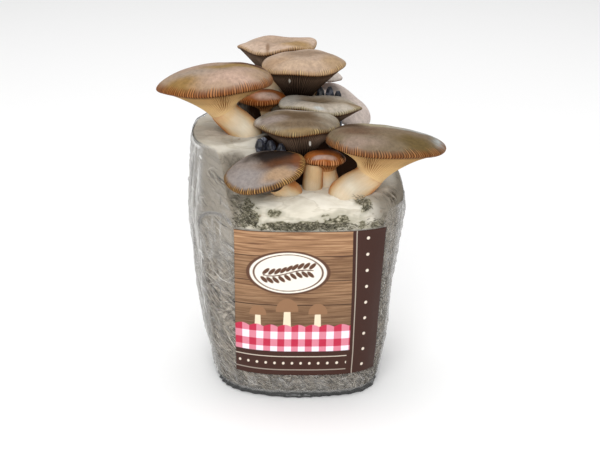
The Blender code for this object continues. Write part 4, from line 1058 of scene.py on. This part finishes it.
    # a small white mark painted on the gills
    if name in GILL_WHITE_MARKS:
        around = add(tree, "Mapping", {"Vector": here, "Location": -np.array(GILL_WHITE_MARKS[name]) / WHITE_MARK_HALF,
                                       "Scale": 1 / MM / WHITE_MARK_HALF})
        far = add(tree, "VectorMath", {0: around}, operation="LENGTH").outputs["Value"]
        drop = add(tree, "MapRange", {"Value": far, "From Min": 1.1, "From Max": 0.8})
        gilled = add(tree, "Mix", {"Factor": drop, "A": gilled, "B": "#e9e5dc"}, data_type="RGBA")
    whole = add(tree, "Mix", {"Factor": gills, "A": skin, "B": gilled}, data_type="RGBA")
    grain = add(tree, "TexNoise", {"Vector": here, "Scale": 1 / (1.11 * MM), "Detail": 3.0})
    height = add(tree, "Math", {0: streaks, 1: 0.4, 2: grain}, operation="MULTIPLY_ADD")
    bump = add(tree, "Bump", {"Height": height, "Strength": 0.3, "Distance": 0.0006})
    gloss = add(tree, "MapRange", {"Value": gills, "To Min": 0.5, "To Max": 0.85})
    connect(tree, shader, {"Base Color": whole, "Normal": bump, "Roughness": gloss,
                           "Specular IOR Level": 0.08})
    return material


def make_cap(name, shape):
    def place(u, v):
        angle = math.pi / 2 + 2 * math.pi * u
        edge = np.stack([np.cos(angle), np.sin(angle), 0 * angle], axis=-1)
        rib = shape.rib_wave(angle)
        # gills: every second one is short and has gone half way down
        down = np.clip(1 - (v - 1 / CAP_ROWS) / (V_MARGIN - 1 / CAP_ROWS), 0, 1)
        wave = rib + (shape.rib_wave(angle, 2) - rib) * smooth((down - 0.4) / 0.25)
        window = smooth(down / 0.12) * (1 - smooth((down - 0.5) / 0.5))
        ridge = 0.035 * shape.half_width * np.sin(math.pi * down)
        depth = min(GILL_DEPTH, 0.09 * shape.half_width)
        under = shape.gill_point(angle, down, ridge - depth * wave * window)
        close = (v > 0.5 / CAP_ROWS)[:, None]
        under = shape.neck + shape.neck_up * GAP + (under - shape.neck - shape.neck_up * GAP) * close
        # rolled margin: a quarter round from the gills' start out to the rim
        roll = -math.pi / 2 * (1 - np.clip((v - V_MARGIN) / (V_RIM - V_MARGIN), 0, 1))
        pinch = RIB_RELIEF / shape.half_width * rib
        reach = MARGIN_SHARE + (1 - MARGIN_SHARE - pinch) * np.cos(roll)
        lip = shape.cap_point(angle, reach, LIP * np.sin(roll))
        # upper skin
        t = np.clip((v - V_RIM) / (1 - V_RIM), 0, 1)
        share = 1 - t**1.5
        toothed = smooth((share - 0.92 + 0.05 * lumps(edge, 0.12)) / 0.1)
        height = shape.dome * np.maximum(1 - share**2.8, 0) ** 0.65
        height -= shape.hollow * 2 * np.exp(-((share / 0.35) ** 2))
        skin = shape.cap_point(angle, share - pinch * toothed, height - 0.5 * RIB_RELIEF * rib * toothed)
        uneven = lumps(skin + shape.start, 16 * MM) * 0.9 * MM
        skin += shape.up * (uneven * smooth((1 - share) / 0.2))[:, None]
        points = np.where((v <= V_MARGIN)[:, None], under, np.where((v < V_RIM)[:, None], lip, skin))
        return points, {
            "rib": wave, "gills": smooth((V_MARGIN + 0.015 - v) / 0.02),
            "lip": smooth((V_RIM - 0.01 - v) / 0.05),
            "share": share, "deep": 1 - down, "ray": edge + UP * share[:, None],
            "disc": edge * share[:, None] + np.outer(1 - share**2, (shape.crown, 0, 0)),
        }

    return bent_grid("skin_" + name, 4 * shape.ribs, CAP_ROWS, place)


for name, shape in shapes.items():
    skin = cap_skin(name, GILL_COLOURS[shape.kind], *shape.skin)
    set_in_kit(make_cap(name, shape), skin, "mushroom_cap", "cap_" + name)

# ---- Dark pins -------------------------------------------------------------------------------------------
# Small mushrooms that stopped growing and dried, in a tuft in each cluster. They are firm and shrivelled,
# nearly black with a blue cast, and white where mycelium still clings to them.

# Foot, height, radius and lean of each pin in millimetres.
PIN_TUFTS = {
    "pins_front": (((-31, -48), 27, 5.0, (-3, 0)), ((-23, -47), 31, 5.0, (-1, -1)),
                   ((-15.5, -48), 36, 5.0, (1, -1)), ((-28, -41), 16, 4.5, (-3, 0))),
    "pins_rear": (((23, 60), 41, 4.6, (0, -1)), ((31, 57), 48, 4.6, (1, -1)), ((39, 54), 49, 4.6, (1, 0))),
}
# Dried flesh: nearly black, dull, in grey and white patches where mycelium clings to it.
dried, tree, shader = new_material("dried_mushroom")
here = add(tree, "TexCoord").outputs["Object"]
patches = add(tree, "TexNoise", {"Vector": here, "Scale": 1 / (7.69 * MM), "Detail": 4.0, "Roughness": 0.7})
dark_skin = add(tree, "ValToRGB", {"Fac": patches}, stops=[
    (0.4, "#0d0e13"), (0.54, "#272935"), (0.62, "#656874"), (0.72, "#d5d8de")])
bump = add(tree, "Bump", {"Height": patches, "Strength": 0.5, "Distance": 0.001})
connect(tree, shader, {"Base Color": dark_skin, "Normal": bump, "Roughness": 0.5})


def make_pin(name, foot, height, thick, lean):
    x, y = np.array(foot) * MM
    base = np.array((x, y, float(top_height(x, y)) - 4 * MM))
    tip = base + np.array((*lean, height + 4)) * MM

    def line(share):
        return base + np.asarray(share)[:, None] * (tip - base)

    def radius(angle, share):
        swell = np.interp(share, (0, 0.45, 0.62, 0.8, 0.93, 1), (1.2, 0.95, 0.75, 1.0, 0.7, 0.3))
        ray = np.stack([np.cos(angle), np.sin(angle), share * 3], axis=-1)
        return thick * MM * (swell + 0.16 * lumps(ray + x * 900, 0.5))

    return bent_grid(name, 40, 50, tube_along(line, radius, np.array((1.0, 0, 0))))


for name, rows in PIN_TUFTS.items():
    pins = [make_pin("tuft_" + name, *row) for row in rows]
    grow_together(pins)
    set_in_kit(pins[0], dried, "dried_pins", name)

bpy.ops.mesh.primitive_plane_add(size=6)
floor = bpy.context.object
floor.name = "floor"
# Matt white paint.
floor_paint, tree, shader = new_material("pale_floor")
connect(tree, shader, {"Base Color": "#fbfbfb", "Roughness": 0.9})
floor.data.materials.append(floor_paint)

world = bpy.data.worlds.new("studio")
world.use_nodes = True
world.node_tree.nodes["Background"].inputs["Color"].default_value = (1, 1, 1, 1)
world.node_tree.nodes["Background"].inputs["Strength"].default_value = 0.4
bpy.context.scene.world = world


def add_softbox(name, place, aim, size, watts):
    bpy.ops.object.light_add(type="AREA", location=place)
    lamp = bpy.context.object
    lamp.name = name
    lamp.data.shape, lamp.data.size, lamp.data.energy = "DISK", size, watts
    lamp.rotation_euler = (Vector(aim) - Vector(place)).to_track_quat("-Z", "Y").to_euler()


add_softbox("softbox_over", (0, 0.6, 2.6), (0, 0.6, 0), 3.2, 52)
add_softbox("softbox_front", (-0.2, -1.7, 1.1), (0, 0, 0.2), 1.5, 26)

CAMERA_AIM, CAMERA_DISTANCE, CAMERA_ELEVATION = Vector((2.9 * MM, 0, 144 * MM)), 1.45, math.radians(20)
LENS_MM = 90.16
bpy.ops.object.camera_add()
camera = bpy.context.object
away = Vector((0, -math.cos(CAMERA_ELEVATION), math.sin(CAMERA_ELEVATION)))
camera.location = CAMERA_AIM + away * CAMERA_DISTANCE
camera.rotation_euler = (-away).to_track_quat("-Z", "Y").to_euler()
camera.data.lens, camera.data.sensor_width = LENS_MM, 36
bpy.context.scene.camera = camera
bpy.context.scene.view_settings.view_transform = "Standard"
